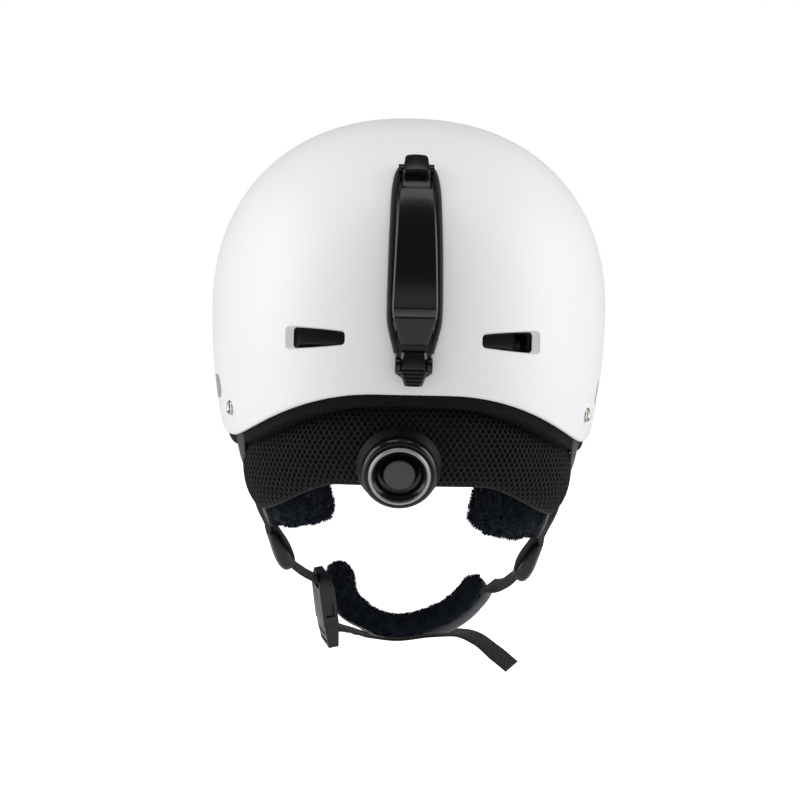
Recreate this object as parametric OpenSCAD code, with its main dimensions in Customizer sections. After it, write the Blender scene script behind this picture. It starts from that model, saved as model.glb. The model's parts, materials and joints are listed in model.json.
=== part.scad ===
// Ski helmet: hard shell over a foam liner, dial fit system, goggle clip,
// fleece ear pads, and a chin strap with a side-release buckle.
// +X is the wearer's right, +Y forward, +Z up. The origin is the centre of
// the head opening, level with the nape edge of the shell.

/* [Shell] */
// Outer width of the shell
shell_w = 222; // [205:1:240]
// Outer length of the shell
shell_l = 272; // [255:1:290]
// Height of the crown above the origin
crown_z = 159; // [150:1:168]
// Height of the widest level above the origin
belt_z = 51; // [40:1:60]
// Wall of the shell
shell_t = 2.5; // [2:0.1:3.5]
// Height of the shell's edge at the brow
brow_z = 27; // [20:1:32]
// Height of the shell's edge at the middle of the nape
nape_z = 2.6; // [0:0.2:5]
// Height of the lowest point of the shell's ear lobe
lobe_z = -21; // [-24:1:-16]
// Length of a rear vent
vent_w = 27; // [22:1:32]
// Height of a rear vent at its outer end
vent_h = 11; // [8:0.5:13]
// Distance of a rear vent from the middle
vent_x = 50; // [46:1:56]
// Height of a rear vent above the origin
vent_z = 32; // [28:1:38]

/* [Foam liner and pads] */
// Wall of the foam liner
foam_t = 24; // [20:0.5:28]
// How far the foam shows below the shell's edge
foam_show = 6.5; // [4:0.5:8]
// Thickness of the comfort pads
pad_t = 6; // [4:0.5:8]
// Thickness of the neck roll
roll_t = 9; // [7:0.5:10]
// Height of the neck roll's lower edge at the middle
roll_low_mid = -46; // [-50:1:-44]
// Height of the neck roll's lower edge at its ends
roll_low_end = -57; // [-60:1:-54]
// Length of an ear pad, front to back
ear_l = 92; // [84:1:98]
// Lowest point of an ear pad
ear_low = -78; // [-84:1:-74]
// Thickness of an ear pad
ear_t = 22; // [18:1:24]

/* [Goggle clip] */
// Width of the clip's arm at its lower end
arm_w = 23; // [19:0.5:24]
// Width of the clip's bracket
bracket_w = 19; // [16:0.5:20]
// Height of the clip's top edge above the origin
clip_top_z = 133; // [128:1:136]
// Height of the arm's pivot above the origin
arm_pivot_z = 124; // [120:1:126]
// Height of the arm's lower tip above the origin
arm_tip_z = 29; // [27:0.5:31]
// Height of the latch tab's pivot above the origin
latch_pivot_z = 19; // [17:0.5:20]
// Diameter of the clip's pins
clip_pin_d = 3; // [2.5:0.1:3.5]
// Diameter of the elastic loop
loop_d = 3.5; // [3:0.1:4]
// Outer width of the elastic loop
loop_w = 31; // [31:0.5:34]

/* [Fit dial] */
// How far the fit dial sits right of the middle, as seen from behind
dial_x = -6; // [-8:0.5:8]
// Height of the dial's centre
dial_z = -36; // [-38:0.5:-34]
// Tilt of the dial's axis below level
dial_tilt = 24; // [15:1:30]
// Outer diameter of the dial
dial_d = 41; // [38:0.5:44]
// Diameter of the silver ring on the dial
ring_d = 33; // [31:0.5:35]
// Diameter of the dial's cap
cap_d = 17; // [14:0.5:18]
// Diameter of the dial's shaft
shaft_d = 5; // [4:0.5:5.5]
// Number of teeth on the pinion
pinion_teeth = 8; // [8:2:10]
// Pitch radius of the pinion
pitch_r = 4; // [4:0.1:4.5]
// Thickness of a rack
rack_t = 3; // [2.5:0.1:3.5]

/* [Straps] */
// Width of the webbing
web_w = 15; // [13:0.5:16]
// Thickness of the webbing
web_t = 1.6; // [1.2:0.1:1.8]
// Width of the buckle
buckle_w = 22; // [20:0.5:24]
// Thickness of the buckle
buckle_t = 9; // [8:0.5:10]
// Length of the buckle's socket
socket_l = 28; // [26:0.5:30]
// Thickness of the chin pad
chin_pad_t = 14; // [11:1:16]
// Diameter of the strap rivets
rivet_d = 8; // [7:0.5:9]

/* [Fits] */
// Gap between pieces that lie against each other
seat_gap = 0.3; // [0.2:0.05:0.4]
// Radial clearance of a pin in its bore
run_gap = 0.08; // [0.05:0.01:0.1]

/* [Hidden] */
$fn = 48;

half_w = shell_w / 2;
half_l = shell_l / 2;
mid_y = 1;
crown_h = crown_z - belt_z;
dome_n = 2.2;             // squareness of the dome's profile
plan_q = 2 / 2.25;        // squareness of the dome's plan
tuck_k = 0.036;           // share by which the sides draw in 50 mm below the belt
brow_angle = 38;          // the level brow edge ends here, measured from the front
lobe_angle = 111;         // the ear lobe's lowest point
nape_span = 60;           // from the lobe to the level nape edge
foam_in = shell_t + seat_gap;
cavity_in = foam_in + foam_t;
roll_in = 13;             // the neck roll lies this far inside the shell's plan
ear_in = 19;
grid = [52, 12, 5];         // facets of shell and liner: round, crown to belt, belt to edge

// ---- helper functions ----
function mix(a, b, u) = a + (b - a) * u;
function smooth(u) = let (c = min(1, max(0, u))) c * c * (3 - 2 * c);
function spow(v, p) = sign(v) * pow(abs(v), p);
function unit(v) = v / norm(v);
function total(v) = [for (x = v) 1] * v;
function fold(th) = let (a = (th % 360 + 360) % 360) a > 180 ? 360 - a : a;

// Height of the shell's edge at an angle from the front
function rim_z(th) =
    th < brow_angle ? brow_z
    : th < lobe_angle
        ? mix(brow_z, lobe_z, smooth((th - brow_angle) / (lobe_angle - brow_angle)))
    : mix(lobe_z, nape_z, pow(smooth((th - lobe_angle) / nape_span), 0.85));

function tuck(z) = 1 - tuck_k * pow(max(0, belt_z - z) / 50, 2);

// A point of the plan at an angle, inset from the shell, at a height below the belt
function plan_point(th, z, inset) =
    [tuck(z) * (half_w - inset) * spow(sin(th), plan_q),
     mid_y + tuck(z) * (half_l - inset) * spow(cos(th), plan_q), z];

// A point of the dome: s runs 0 to 1 from crown to belt and 1 to 2 from belt to edge
function dome_point(th, s, inset, drop) =
    let (phi = 90 * min(s, 1),
         rise = pow(sin(phi), 2 / dome_n),
         z = s < 1 ? belt_z + (crown_h - inset) * pow(cos(phi), 2 / dome_n)
             : mix(belt_z, rim_z(fold(th)) - drop, s - 1),
         f = s < 1 ? rise : tuck(z))
    [f * (half_w - inset) * spow(sin(th), plan_q),
     mid_y + f * (half_l - inset) * spow(cos(th), plan_q), z];

// Rear centre line of the shell: distance behind the origin at a height, and its outward normal
function rear_y(z) = mid_y - half_l * (z > belt_z
    ? pow(1 - pow((z - belt_z) / crown_h, dome_n), 1 / dome_n) : tuck(z));
function rear_n(z) = unit([0, -2, rear_y(z + 1) - rear_y(z - 1)]);
function rear_point(x, z, off) = [x, rear_y(z), z] + off * rear_n(z);

// Smooth curve through points
function bend(a, b, c, d, t) = 0.5 * (2 * b + t * (c - a) + t * t * (2 * a - 5 * b + 4 * c - d)
    + t * t * t * (3 * b - 3 * c + d - a));
function curve(p, u) =
    let (n = len(p) - 1, i = min(n - 1, floor(u * n)), t = u * n - i)
    bend(p[max(0, i - 1)], p[i], p[i + 1], p[min(n, i + 2)], t);
function along(p, steps) = [for (i = [0 : steps]) curve(p, i / steps)];

// Closed solid through a row of rings with equally many points
module loft(rings) {
    m = len(rings[0]);
    n = len(rings);
    points = concat([for (r = rings) each r], [total(rings[0]) / m, total(rings[n - 1]) / m]);
    faces = concat(
        [for (i = [0 : n - 2]) for (j = [0 : m - 1])
            let (a = i * m + j, b = i * m + (j + 1) % m, c = b + m, d = a + m)
            each [[a, b, c], [a, c, d]]],
        [for (j = [0 : m - 1]) [j, n * m, (j + 1) % m]],
        [for (j = [0 : m - 1]) [(n - 1) * m + j, (n - 1) * m + (j + 1) % m, n * m + 1]]);
    o = points[0];
    volume = total([for (f = faces)
        [(points[f[0]] - o) * cross(points[f[1]] - o, points[f[2]] - o), 0, 0]])[0];
    polyhedron(points, volume > 0
        ? [for (f = faces) [f[2], f[1], f[0]]] : faces);
}

// Dome between two insets, closed along its edge
module dome_shell(in_out, in_in, drop_out, drop_in, cols, ups, lows) {
    rows = concat([for (i = [0.35, each [1 : ups]]) i / ups], [for (i = [1 : lows]) 1 + i / lows]);
    last = len(rows) - 1;
    loft(concat(
        [for (s = rows) [for (j = [0 : cols - 1]) dome_point(360 * j / cols, s, in_out, drop_out)]],
        [for (i = [last : -1 : 0])
            [for (j = [0 : cols - 1]) dome_point(360 * j / cols, rows[i], in_in, drop_in)]]));
}

// Flat strap along a route: its width lies along dirs, one direction for each station
module strap(route, dirs, w, t) {
    n = len(route);
    loft([for (i = [0 : n - 1])
        let (d = unit(route[min(n - 1, i + 1)] - route[max(0, i - 1)]),
             side = unit(dirs[i] - (dirs[i] * d) * d), up = cross(d, side))
        [for (k = [[-1, -1], [1, -1], [1, 1], [-1, 1]])
            route[i] + k[0] * side * w / 2 + k[1] * up * t / 2]]);
}

// Curved pad inside the dome: rounded section from s0 to s1, from one angle to another
module dome_pad(th0, th1, s0, s1, in_out, thick, cols, taper = 6) {
    loft([for (i = [0 : cols])
        let (th = mix(th0, th1, i / cols), e = min(1, sin(180 * i / cols) * taper + 0.25))
        [for (k = [0 : 9])
            let (a = 36 * k, c = 0.5 + 0.5 * spow(cos(a), 0.5) * e, d = 0.5 + 0.5 * spow(sin(a), 0.5) * e)
            dome_point(th, mix(s0, s1, c), in_out + thick * d, 0)]]);
}

// ---- shell and liner ----
// Slot through the shell or liner at the rear, taller at its outer end
module rear_slot(side, grow, y0, y1) {
    hull() for (e = [[-1, 0.62], [1, 1]]) for (v = [-1, 1])
        translate([side * (vent_x + e[0] * (vent_w / 2 - 2)),
            y0, vent_z + v * (vent_h / 2 * e[1] - 2)])
            rotate([-90, 0, 0]) cylinder(r = 2 + grow, h = y1 - y0, $fn = 24);
}
module side_slot(side, grow, depth) {
    hull() for (v = [-1, 1])
        translate([side * (half_w - depth), v * 11 - 14, 12])
            rotate([0, 90, 0]) cylinder(r = 3.4 + grow, h = 2 * depth, $fn = 24);
}
module front_slot(side, grow, y0, y1) {
    hull() for (e = [-1, 1])
        translate([side * 34 + e * 13, y0, 92 - e * side * 3])
            rotate([-90, 0, 0]) cylinder(r = 4 + grow, h = y1 - y0, $fn = 24);
}
module vents(grow, deep) {
    for (side = [-1, 1]) {
        rear_slot(side, grow, -half_l - 6, -half_l + deep);
        side_slot(side, grow, deep - 4);
        front_slot(side, grow, half_l - deep - 22, half_l + 6);
    }
}
// Places a child at a strap rivet, its axis out of the shell
rivet_at = [for (side = [-1, 1]) each [[side, 113.5, -6], [side, 70, 17]]];
module at_rivet(r) {
    p = plan_point(r[0] * r[1], r[2], 0);
    translate(p) rotate([0, 0, atan2(p[1] * 0.72, p[0])]) rotate([0, 90, 0]) children();
}
module outer_shell() {
    color("white") difference() {
        dome_shell(0, shell_t, 0, 0, grid[0], grid[1], grid[2]);
        vents(0, 22);
        // shallow moulded frames round the rear vents
        for (side = [-1, 1]) intersection() {
            rear_slot(side, 3, -half_l - 6, -half_l + 22);
            dome_shell(-2, 0.9, 0, 0, grid[0], grid[1], grid[2]);
        }
        for (r = rivet_at) at_rivet(r) cylinder(d = rivet_d - 3, h = 16, center = true, $fn = 24);
        for (z = screw_z) at_rear(z) cylinder(d = screw_d + 0.6, h = 20, center = true, $fn = 24);
    }
}
module foam_liner() {
    color([0.09, 0.09, 0.1]) difference() {
        dome_shell(foam_in, cavity_in, foam_show, foam_show, grid[0], grid[1], grid[2]);
        vents(-1, 44);
        for (r = rivet_at) at_rivet(r)
            translate([0, 0, -foam_in - 2]) hull() for (v = [0, 60])
                translate([v, 0, 0]) cylinder(d = web_w + 3, h = 13, center = true, $fn = 16);
        for (z = screw_z) at_rear(z) cylinder(d = screw_d + 1.6, h = 24, center = true, $fn = 24);
    }
}
module strap_rivets() {
    color([0.75, 0.74, 0.7]) for (r = rivet_at) at_rivet(r) {
        translate([0, 0, 2 * seat_gap]) rotate_extrude()
            polygon([[1.6, 0], [rivet_d / 2, 0], [rivet_d / 2 - 0.4, 0.6], [rivet_d / 2 - 1.4, 1],
                     [2.1, 0.8], [1.6, 0.4]]);
        translate([0, 0, -foam_in - 3.2]) difference() {
            cylinder(r = 2.1, h = foam_in + 3.6);
            translate([0, 0, -1]) cylinder(r = 1.6, h = foam_in + 6);
        }
    }
}
module crown_pad() {
    color([0.12, 0.12, 0.13]) for (side = [-1, 1])
        dome_pad(90 * side - 76, 90 * side + 76, 0.2, 0.55, cavity_in + seat_gap, pad_t, 14);
}
module brow_pad() {
    color([0.12, 0.12, 0.13]) dome_pad(-58, 58, 1.2, 1.92, cavity_in + seat_gap, pad_t, 20);
}
module side_pads() {
    color([0.12, 0.12, 0.13]) for (side = [-1, 1])
        dome_pad(side * 76, side * 104, 0.8, 1.3, cavity_in + seat_gap, pad_t, 12);
}

// ---- goggle clip ----
// Bar along the rear centre line with bevelled sides; stations are [z, inner, outer, width]
module rear_bar(stations, bevel = 2.2) {
    loft([for (s = stations) [
        rear_point(-s[3] / 2, s[0], s[1]), rear_point(s[3] / 2, s[0], s[1]),
        rear_point(s[3] / 2, s[0], max(s[1] + 0.4, s[2] - bevel)),
        rear_point(s[3] / 2 - bevel, s[0], s[2]), rear_point(-s[3] / 2 + bevel, s[0], s[2]),
        rear_point(-s[3] / 2, s[0], max(s[1] + 0.4, s[2] - bevel))]]);
}
// Places a child on the rear centre line, lying across it, its own +Z along +X
module rear_pin_at(z, off) {
    translate(rear_point(0, z, off)) rotate([0, 90, 0]) children();
}
pin_off = 6.6;              // the clip's pins stand this far off the shell
ear_gap = 0.5;              // between an ear and what turns between the ears
arm_root_w = bracket_w - 7;
tab_w = 13.4;
base_w = tab_w + 2 * (ear_gap + 2.6);
module clip_base() {
    color([0.05, 0.05, 0.06]) difference() {
        union() {
            rear_bar([for (i = [0 : 14]) let (u = i / 14)
                [mix(clip_top_z, 5, u), seat_gap, 2.3, base_w - (i == 0 || i == 14 ? 6 : 0)]], 0.8);
            for (side = [-1, 1]) {
                rear_ear(side * (arm_root_w / 2 + ear_gap + 1.5), arm_pivot_z, 3, 5.2);
                rear_ear(side * (tab_w / 2 + ear_gap + 1.3), latch_pivot_z, 2.6, 4);
            }
        }
        rear_pin_at(arm_pivot_z, pin_off) cylinder(d = clip_pin_d, h = 60, center = true);
        rear_pin_at(latch_pivot_z, pin_off) cylinder(d = clip_pin_d, h = 60, center = true);
        for (z = screw_z) at_rear(z) cylinder(d = screw_d + 0.4, h = 12, center = true, $fn = 24);
    }
}
// Ear that holds a pin: a round eye on a foot that reaches the plate
module rear_ear(x, z, w, r) {
    translate([x, 0, 0]) union() {
        rear_pin_at(z, pin_off) cylinder(r = r, h = w, center = true);
        translate(rear_point(0, z, 0)) rotate([90 + rear_lean(z), 0, 0])
            translate([-w / 2, 0.5 - r, 1]) cube([w, 2 * r - 1, pin_off - 1]);
    }
}
function rear_lean(z) = atan2(-rear_n(z)[2], -rear_n(z)[1]);
module at_rear(z) {
    translate(rear_point(0, z, 0)) rotate([90 + rear_lean(z), 0, 0]) children();
}
screw_z = [104, 44];
screw_d = 3;
module clip_screws() {
    color([0.4, 0.4, 0.42]) for (z = screw_z) at_rear(z) {
        translate([0, 0, 2.4]) cylinder(d1 = 5.6, d2 = 4.6, h = 1.2);
        translate([0, 0, -7]) cylinder(d = screw_d, h = 9.5);
    }
}
// Arm: an eye on the upper pin, a bowed bar, and a tapered tip with a crease above it
module clip_arm() {
    color([0.04, 0.04, 0.05]) difference() {
        union() {
            rear_bar(concat(
                [[arm_pivot_z, pin_off - 3, pin_off + 3, arm_root_w],
                 [arm_pivot_z - 7, 4.4, pin_off + 3.6, arm_root_w]],
                [for (i = [0 : 8]) let (u = i / 8)
                    [mix(arm_pivot_z - 9, 48, u), 4.2, 9.6 + 1.6 * sin(180 * u),
                     mix(bracket_w, arm_w, pow(u, 0.7))]],
                [[45.5, 4.2, 8.6, arm_w], [43, 4.2, 9.6, arm_w],
                 [arm_tip_z + 2, 4.2, 8.6, 15], [arm_tip_z, 4.8, 7.6, 13.4]]));
            rear_pin_at(arm_pivot_z, pin_off) cylinder(r = 3.6, h = arm_root_w, center = true);
        }
        rear_pin_at(arm_pivot_z, pin_off)
            cylinder(r = clip_pin_d / 2 + run_gap, h = 60, center = true);
    }
}
module clip_arm_pin() {
    color([0.5, 0.5, 0.52]) rear_pin_at(arm_pivot_z, pin_off)
        cylinder(d = clip_pin_d, h = arm_root_w + 2 * ear_gap + 6, center = true);
}
// Latch tab: a serrated thumb tab on its own pin
module clip_latch() {
    color([0.05, 0.05, 0.06]) difference() {
        union() {
            rear_bar(concat([[latch_pivot_z + 5.6, 5.6, 8.2, tab_w]],
                [for (i = [0 : 10]) let (u = i / 10)
                    [mix(latch_pivot_z + 4.6, 8, u), 3.6 + 0.8 * u, 9 + (i % 2) * 0.9,
                     mix(tab_w, 9.5, u)]]), 1.2);
            rear_pin_at(latch_pivot_z, pin_off) cylinder(r = 3, h = tab_w - 1, center = true);
        }
        rear_pin_at(latch_pivot_z, pin_off)
            cylinder(r = clip_pin_d / 2 + run_gap, h = 60, center = true);
    }
}
module clip_latch_pin() {
    color([0.5, 0.5, 0.52]) rear_pin_at(latch_pivot_z, pin_off)
        cylinder(d = clip_pin_d, h = tab_w + 2 * ear_gap + 5.2, center = true);
}
// Elastic: a round cord at each side of the clip, its ends tucked against the base plate
module clip_elastic_loop() {
    side_x = (loop_w - loop_d) / 2;
    in_x = base_w / 2 + 2 * seat_gap;
    for (side = [-1, 1]) {
        path = along([[in_x, 119.6], [side_x - 1.4, 118.4], [side_x, 114], [side_x, 92], [side_x, 70],
                      [side_x, 48], [side_x, 29], [side_x - 1.4, 25.2], [in_x, 24]], 32);
        color([0.06, 0.06, 0.07]) tube([for (p = path)
            rear_point(side * p[0], p[1], loop_d / 2 + 2 * seat_gap) + [0, shell_sink(p[0]), 0]],
            loop_d / 2, 8);
    }
}
// How far the shell curves away beside its centre line
function shell_sink(x) = half_l * (1 - pow(1 - pow(abs(x) / half_w, 2 / plan_q), plan_q / 2));
// Round tube along an open route
module tube(p, r, sides) {
    n = len(p);
    loft([for (i = [0 : n - 1])
        let (d = unit(p[min(n - 1, i + 1)] - p[max(0, i - 1)]), out = [0, -1, 0],
             u = unit(out - (out * d) * d), v = cross(d, u))
        [for (k = [0 : sides - 1]) p[i] + r * (cos(360 * k / sides) * u + sin(360 * k / sides) * v)]]);
}

// ---- neck roll and fit dial ----
roll_th = 112;             // the neck roll ends at this angle from the front
function roll_low(th) = mix(roll_low_mid, roll_low_end, smooth((180 - fold(th)) / 42));
function roll_point(th, u, d) = // u runs down the roll, d inwards
    let (top = rim_z(fold(th)) - foam_show - seat_gap - 0.4, z = mix(top, roll_low(th), u),
         p = plan_point(th, 0, roll_in + d))
    [p[0] * (1 - 0.05 * u * u), p[1] * (1 - 0.05 * u * u), z];
module roll_body() {
    cols = 44;
    loft([for (i = [0 : cols])
        let (th = mix(roll_th, 360 - roll_th, i / cols), e = min(1, 5 * sin(180 * i / cols) + 0.3))
        [for (k = [0 : 13]) let (a = 360 * k / 14)
            roll_point(th, 0.5 + 0.5 * spow(cos(a), 0.55) * mix(0.6, 1, e),
                roll_t * (0.5 + 0.5 * spow(sin(a), 0.8) * e))]]);
}
dial_y = roll_point(180, 0.8, 0)[1] - 1.5;
boss_d = dial_d + 5;
module at_dial() translate([dial_x, dial_y, dial_z]) rotate([90 + dial_tilt, 0, 0]) children();
module neck_roll() {
    color([0.1, 0.1, 0.11]) difference() {
        roll_body();
        at_dial() cylinder(d = boss_d + 2 * seat_gap, h = 60, center = true);
        at_dial() translate([0, 0, rack_low - 8 + (rack_t + wall_t + seat_gap * 3)])
            cube([2 * (rack_out + 13), track_h + 2, 16], center = true);
    }
}
wall_t = 2;
rack_low = -19;            // the racks' inner face, seen along the dial's axis
track_w = 52;
track_h = 20;
rack_top = rack_low + rack_t;
module dial_housing() {
    color([0.06, 0.06, 0.07]) at_dial() difference() {
        union() {
            translate([-track_w / 2, -track_h / 2, rack_top + seat_gap]) cube([track_w, track_h, wall_t]);
            for (v = [-1, 1]) translate([0, v * (track_h / 2 - 1), rack_low + rack_t / 2 + 0.3])
                cube([track_w, 2, rack_t + 0.6], center = true);
            translate([0, 0, rack_top + seat_gap + 0.5]) cylinder(d1 = 30, d2 = boss_d, h = 14);
            translate([0, 0, rack_top + seat_gap + 14.5]) cylinder(d1 = boss_d, d2 = dial_d - 1, h = 4.4);
        }
        cylinder(r = shaft_d / 2 + run_gap, h = 80, center = true);
        translate([0, 0, rack_top + 6]) cylinder(d = dial_d - 12, h = 30);
    }
}
boss_top = rack_top + seat_gap + 18.9;
module dial_back_plate() {
    color([0.08, 0.08, 0.09]) at_dial() difference() {
        translate([-track_w / 2, -track_h / 2, rack_low - seat_gap - wall_t])
            cube([track_w, track_h, wall_t]);
        cylinder(r = shaft_d / 2 + run_gap, h = 80, center = true);
    }
}
// One pinion tooth or rack tooth, pointing along +Y from its pitch line
module tooth(root, tip) {
    polygon([[-1.0, -root], [-0.6, 0], [-0.35, tip], [0.35, tip], [0.6, 0], [1.0, -root]]);
}
module dial_pinion() {
    color([0.7, 0.7, 0.68]) at_dial() {
        translate([0, 0, rack_low]) linear_extrude(rack_t) union() {
            circle(r = pitch_r - 1);
            for (i = [0 : pinion_teeth - 1]) rotate(360 * i / pinion_teeth)
                translate([0, pitch_r]) tooth(1.3, 0.8);
        }
        difference() {
            translate([0, 0, rack_low - 1.6]) cylinder(d = shaft_d, h = boss_top + 5 - rack_low + 1.6);
            translate([0, 0, boss_top - 4]) cylinder(d = 2.2, h = 12, $fn = 24);
        }
    }
}
// Rack: a toothed strip; side -1 runs out to the left above the pinion
rack_in = 20;
rack_out = 32;
module rack(side) {
    pitch = 2 * PI * pitch_r / pinion_teeth;
    root = pitch_r + 1.1;
    teeth = [for (i = [-6 : 5]) let (x = (i + 0.5) * pitch)
        each [[x - 1, root], [x - 0.35, pitch_r - 0.7], [x + 0.35, pitch_r - 0.7], [x + 1, root]]];
    color([0.55, 0.55, 0.56]) at_dial() rotate(side > 0 ? 180 : 0)
        translate([0, 0, rack_low]) linear_extrude(rack_t)
            polygon(concat([[-rack_out, root]], teeth,
                [[rack_in, root], [rack_in, root + 2.2], [-rack_out, root + 2.2]]));
}
module rack_left() rack(-1);
module rack_right() rack(1);
// Headband: from the rack's end round the side of the head
function dial_world(p) = [p[0] + dial_x, dial_y - p[1] * sin(dial_tilt) - p[2] * cos(dial_tilt),
    dial_z + p[1] * cos(dial_tilt) - p[2] * sin(dial_tilt)];
module headband(side) {
    start = dial_world([side * (rack_out + 1), -side * (pitch_r + 2.1), rack_low + rack_t / 2]);
    end = plan_point(side * 84, 0, cavity_in + 4) + [0, 0, 16];
    far = plan_point(side * 112, 0, cavity_in + 6) + [0, 0, 2];
    near = plan_point(side * 140, 0, cavity_in + 4) + [0, 0, -22];
    color([0.08, 0.08, 0.09])
        strap(along([start, near, far, end], 18), [for (i = [0 : 18]) [0, 0, 1]], 12, 1.4);
}
module headband_left() headband(-1);
module headband_right() headband(1);
module dial_knob() {
    color([0.13, 0.13, 0.14]) at_dial() difference() {
        translate([0, 0, boss_top + seat_gap]) rotate_extrude($fn = 72)
            polygon([[0, 0], [dial_d / 2 - 1, 0], [dial_d / 2, 1.2], [dial_d / 2 - 0.3, 6],
                     [ring_d / 2 + 1, 8], [ring_d / 2 - 3.5, 8], [ring_d / 2 - 5, 3.4], [0, 3.4]]);
        cylinder(d = shaft_d, h = 80, center = true);
    }
}
module dial_ring() {
    color([0.72, 0.72, 0.73]) at_dial() translate([0, 0, boss_top + seat_gap + 8])
        rotate_extrude($fn = 72) polygon([[ring_d / 2 - 3, 0], [ring_d / 2, 0],
            [ring_d / 2 - 0.6, 0.9], [ring_d / 2 - 2.2, 0.9]]);
}
module dial_cap() {
    color([0.35, 0.35, 0.37]) at_dial() translate([0, 0, boss_top + seat_gap + 5.4])
        rotate_extrude() polygon([[0, 0], [cap_d / 2, 0], [cap_d / 2 - 0.5, 1], [0, 1.4]]);
}
module dial_screw() {
    color([0.6, 0.6, 0.62]) at_dial() {
        translate([0, 0, boss_top + 5]) cylinder(d = 5.4, h = 0.6, $fn = 24);
        translate([0, 0, boss_top - 3.5]) cylinder(d = 2, h = 8.6, $fn = 24);
    }
}

// ---- ear pads ----
// A point of the ear pad: u front to back, v down, both -1 to 1, d inwards
ear_mid_y = 8;
function ear_point(side, u, v, d) =
    let (y = ear_mid_y + u * ear_l / 2,
         th = acos(spow((y - mid_y) / (half_l - ear_in), 1 / plan_q)),
         z = mix(rim_z(th) - foam_show - 4 * seat_gap, ear_low, (v + 1) / 2),
         w = plan_point(th, 0, ear_in)[0],
         curl = pow(max(0, (v + 1) / 2), 2) * (12 + 24 * smooth((u + 0.4) / 1.4)))
    [side * (w - curl - d), y, z];
module ear_cushion(side, d0, thick, grow) {
    rows = 14;
    loft([for (i = [0 : rows]) let (v = -1 + 2 * i / rows, c = pow(1 - pow(abs(v), 3), 1 / 2.4))
        [for (k = [0 : 17]) let (a = 20 * k, e = max(0.3, c),
            u = spow(cos(a), 0.75) * mix(e, 0.92, v < 0 ? 0.8 : 0.15) * grow)
            ear_point(side, u, v * 0.97, d0 + thick * (0.5 + 0.5 * spow(sin(a), 0.7) * e))]]);
}
module ear_pad_left() color([0.08, 0.09, 0.12]) ear_cushion(-1, 2.2, ear_t - 2.2, 1);
module ear_pad_right() color([0.08, 0.09, 0.12]) ear_cushion(1, 2.2, ear_t - 2.2, 1);
module ear_cover_left() color([0.14, 0.14, 0.15]) ear_cushion(-1, 0, 1.8, 1.02);
module ear_cover_right() color([0.14, 0.14, 0.15]) ear_cushion(1, 0, 1.8, 1.02);
module ear_snaps() {
    color([0.2, 0.2, 0.21]) for (side = [-1, 1]) for (u = [-0.55, 0.55])
        translate(ear_point(side, u, -0.6, -2)) rotate([0, side * 90, 0])
            cylinder(d = 9, h = 2.4, center = true);
}

// ---- straps ----
// Routes of the webbing, as round numbers in the left and right halves
rear_leg_left = [[-92.9, -54, -2], [-92.4, -53, -20], [-93.4, -46, -36], [-93.5, -26, -50],
                 [-86, 8, -63], [-77, 29, -76], [-71, 36, -85]];
front_leg_left = [[-98.6, 50.6, 20], [-98.4, 50.6, 4], [-97, 50, -14], [-92, 49, -38],
                  [-83, 45, -61], [-76, 41, -75], [-71, 37, -85]];
lower_left = [[-67, 43, -93], [-60, 51, -99], [-52, 58, -103]];
rear_leg_right = [[92.9, -54, -2], [92.4, -53, -20], [93.4, -46, -36], [93.5, -26, -52],
                  [87, 8, -66], [80, 29, -80], [74, 36, -89]];
front_leg_right = [[98.6, 50.6, 20], [98.4, 50.6, 4], [97, 50, -14], [93, 49, -40],
                   [85, 45, -65], [79, 41, -79], [74, 37, -89]];
lower_right = [[70, 43, -97], [65, 54, -104], [59, 67, -108], [54, 80, -109]];
divider_left_at = [-71, 36, -85];
divider_right_at = [74, 36, -89];
divider_left_dir = unit([5, 3, -10]);
divider_right_dir = unit([-5, 3, -10]);
tunnel_t = 2 * web_t + 5;
tunnel_w = 28.8;           // inner width of a divider
socket_top = [-50, 61, -104];
buckle_dir = unit([5.5, 12, -39]);
slot_dir = [-0.239, 0.937, 0.255]; // across the plug's webbing slot
chin_web_route = [[-48.9, 70.1, -136.4], [-41.2, 71.6, -134.9], [-35, 77, -136], [-28, 86, -138],
                  [-16, 95, -140], [0, 98, -141], [20, 96, -139.8], [36, 90, -141],
                  [50, 82, -149], [62, 77, -158]];
pad_route = [[-40, 84, -99], [-41, 90, -112], [-31, 97, -125], [0, 100, -131], [28, 97, -125],
             [42, 89, -113], [46, 84, -104]];
pad_half = 10;             // half the chin pad's width

// Webbing from a rivet at an angle of the plan: it starts flat against the shell there
module web(route, th, steps) {
    n = len(route) - 1;
    start = web_tangent(th);
    dirs = [for (i = [0 : n]) i < 2 ? start : i == 2 ? start + [0, 1, 0.2] : [0, 1, 0.25]];
    color([0.07, 0.07, 0.08]) strap(along(route, steps), along(dirs, steps), web_w, web_t);
}
// Direction along the shell's plan at an angle, pointing forward
function web_tangent(th) = unit(plan_point(th - 3 * sign(th), 0, 5) - plan_point(th + 3 * sign(th), 0, 5));
module web_rear_left() web(rear_leg_left, -113.5, 18);
module web_front_left() web(concat(front_leg_left, lower_left), -70, 27);
module web_rear_right() web(rear_leg_right, 113.5, 18);
module web_front_right() web(concat(front_leg_right, lower_right), 70, 30);
// Places a child at a point, its +Z against a direction and its +Y as near +Y as it goes
module aligned(at, dir) {
    z = -dir;
    x = unit(cross([0, 1, 0], z));
    y = cross(z, x);
    multmatrix([[x[0], y[0], z[0], at[0]], [x[1], y[1], z[1], at[1]],
                [x[2], y[2], z[2], at[2]]]) children();
}
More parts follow.
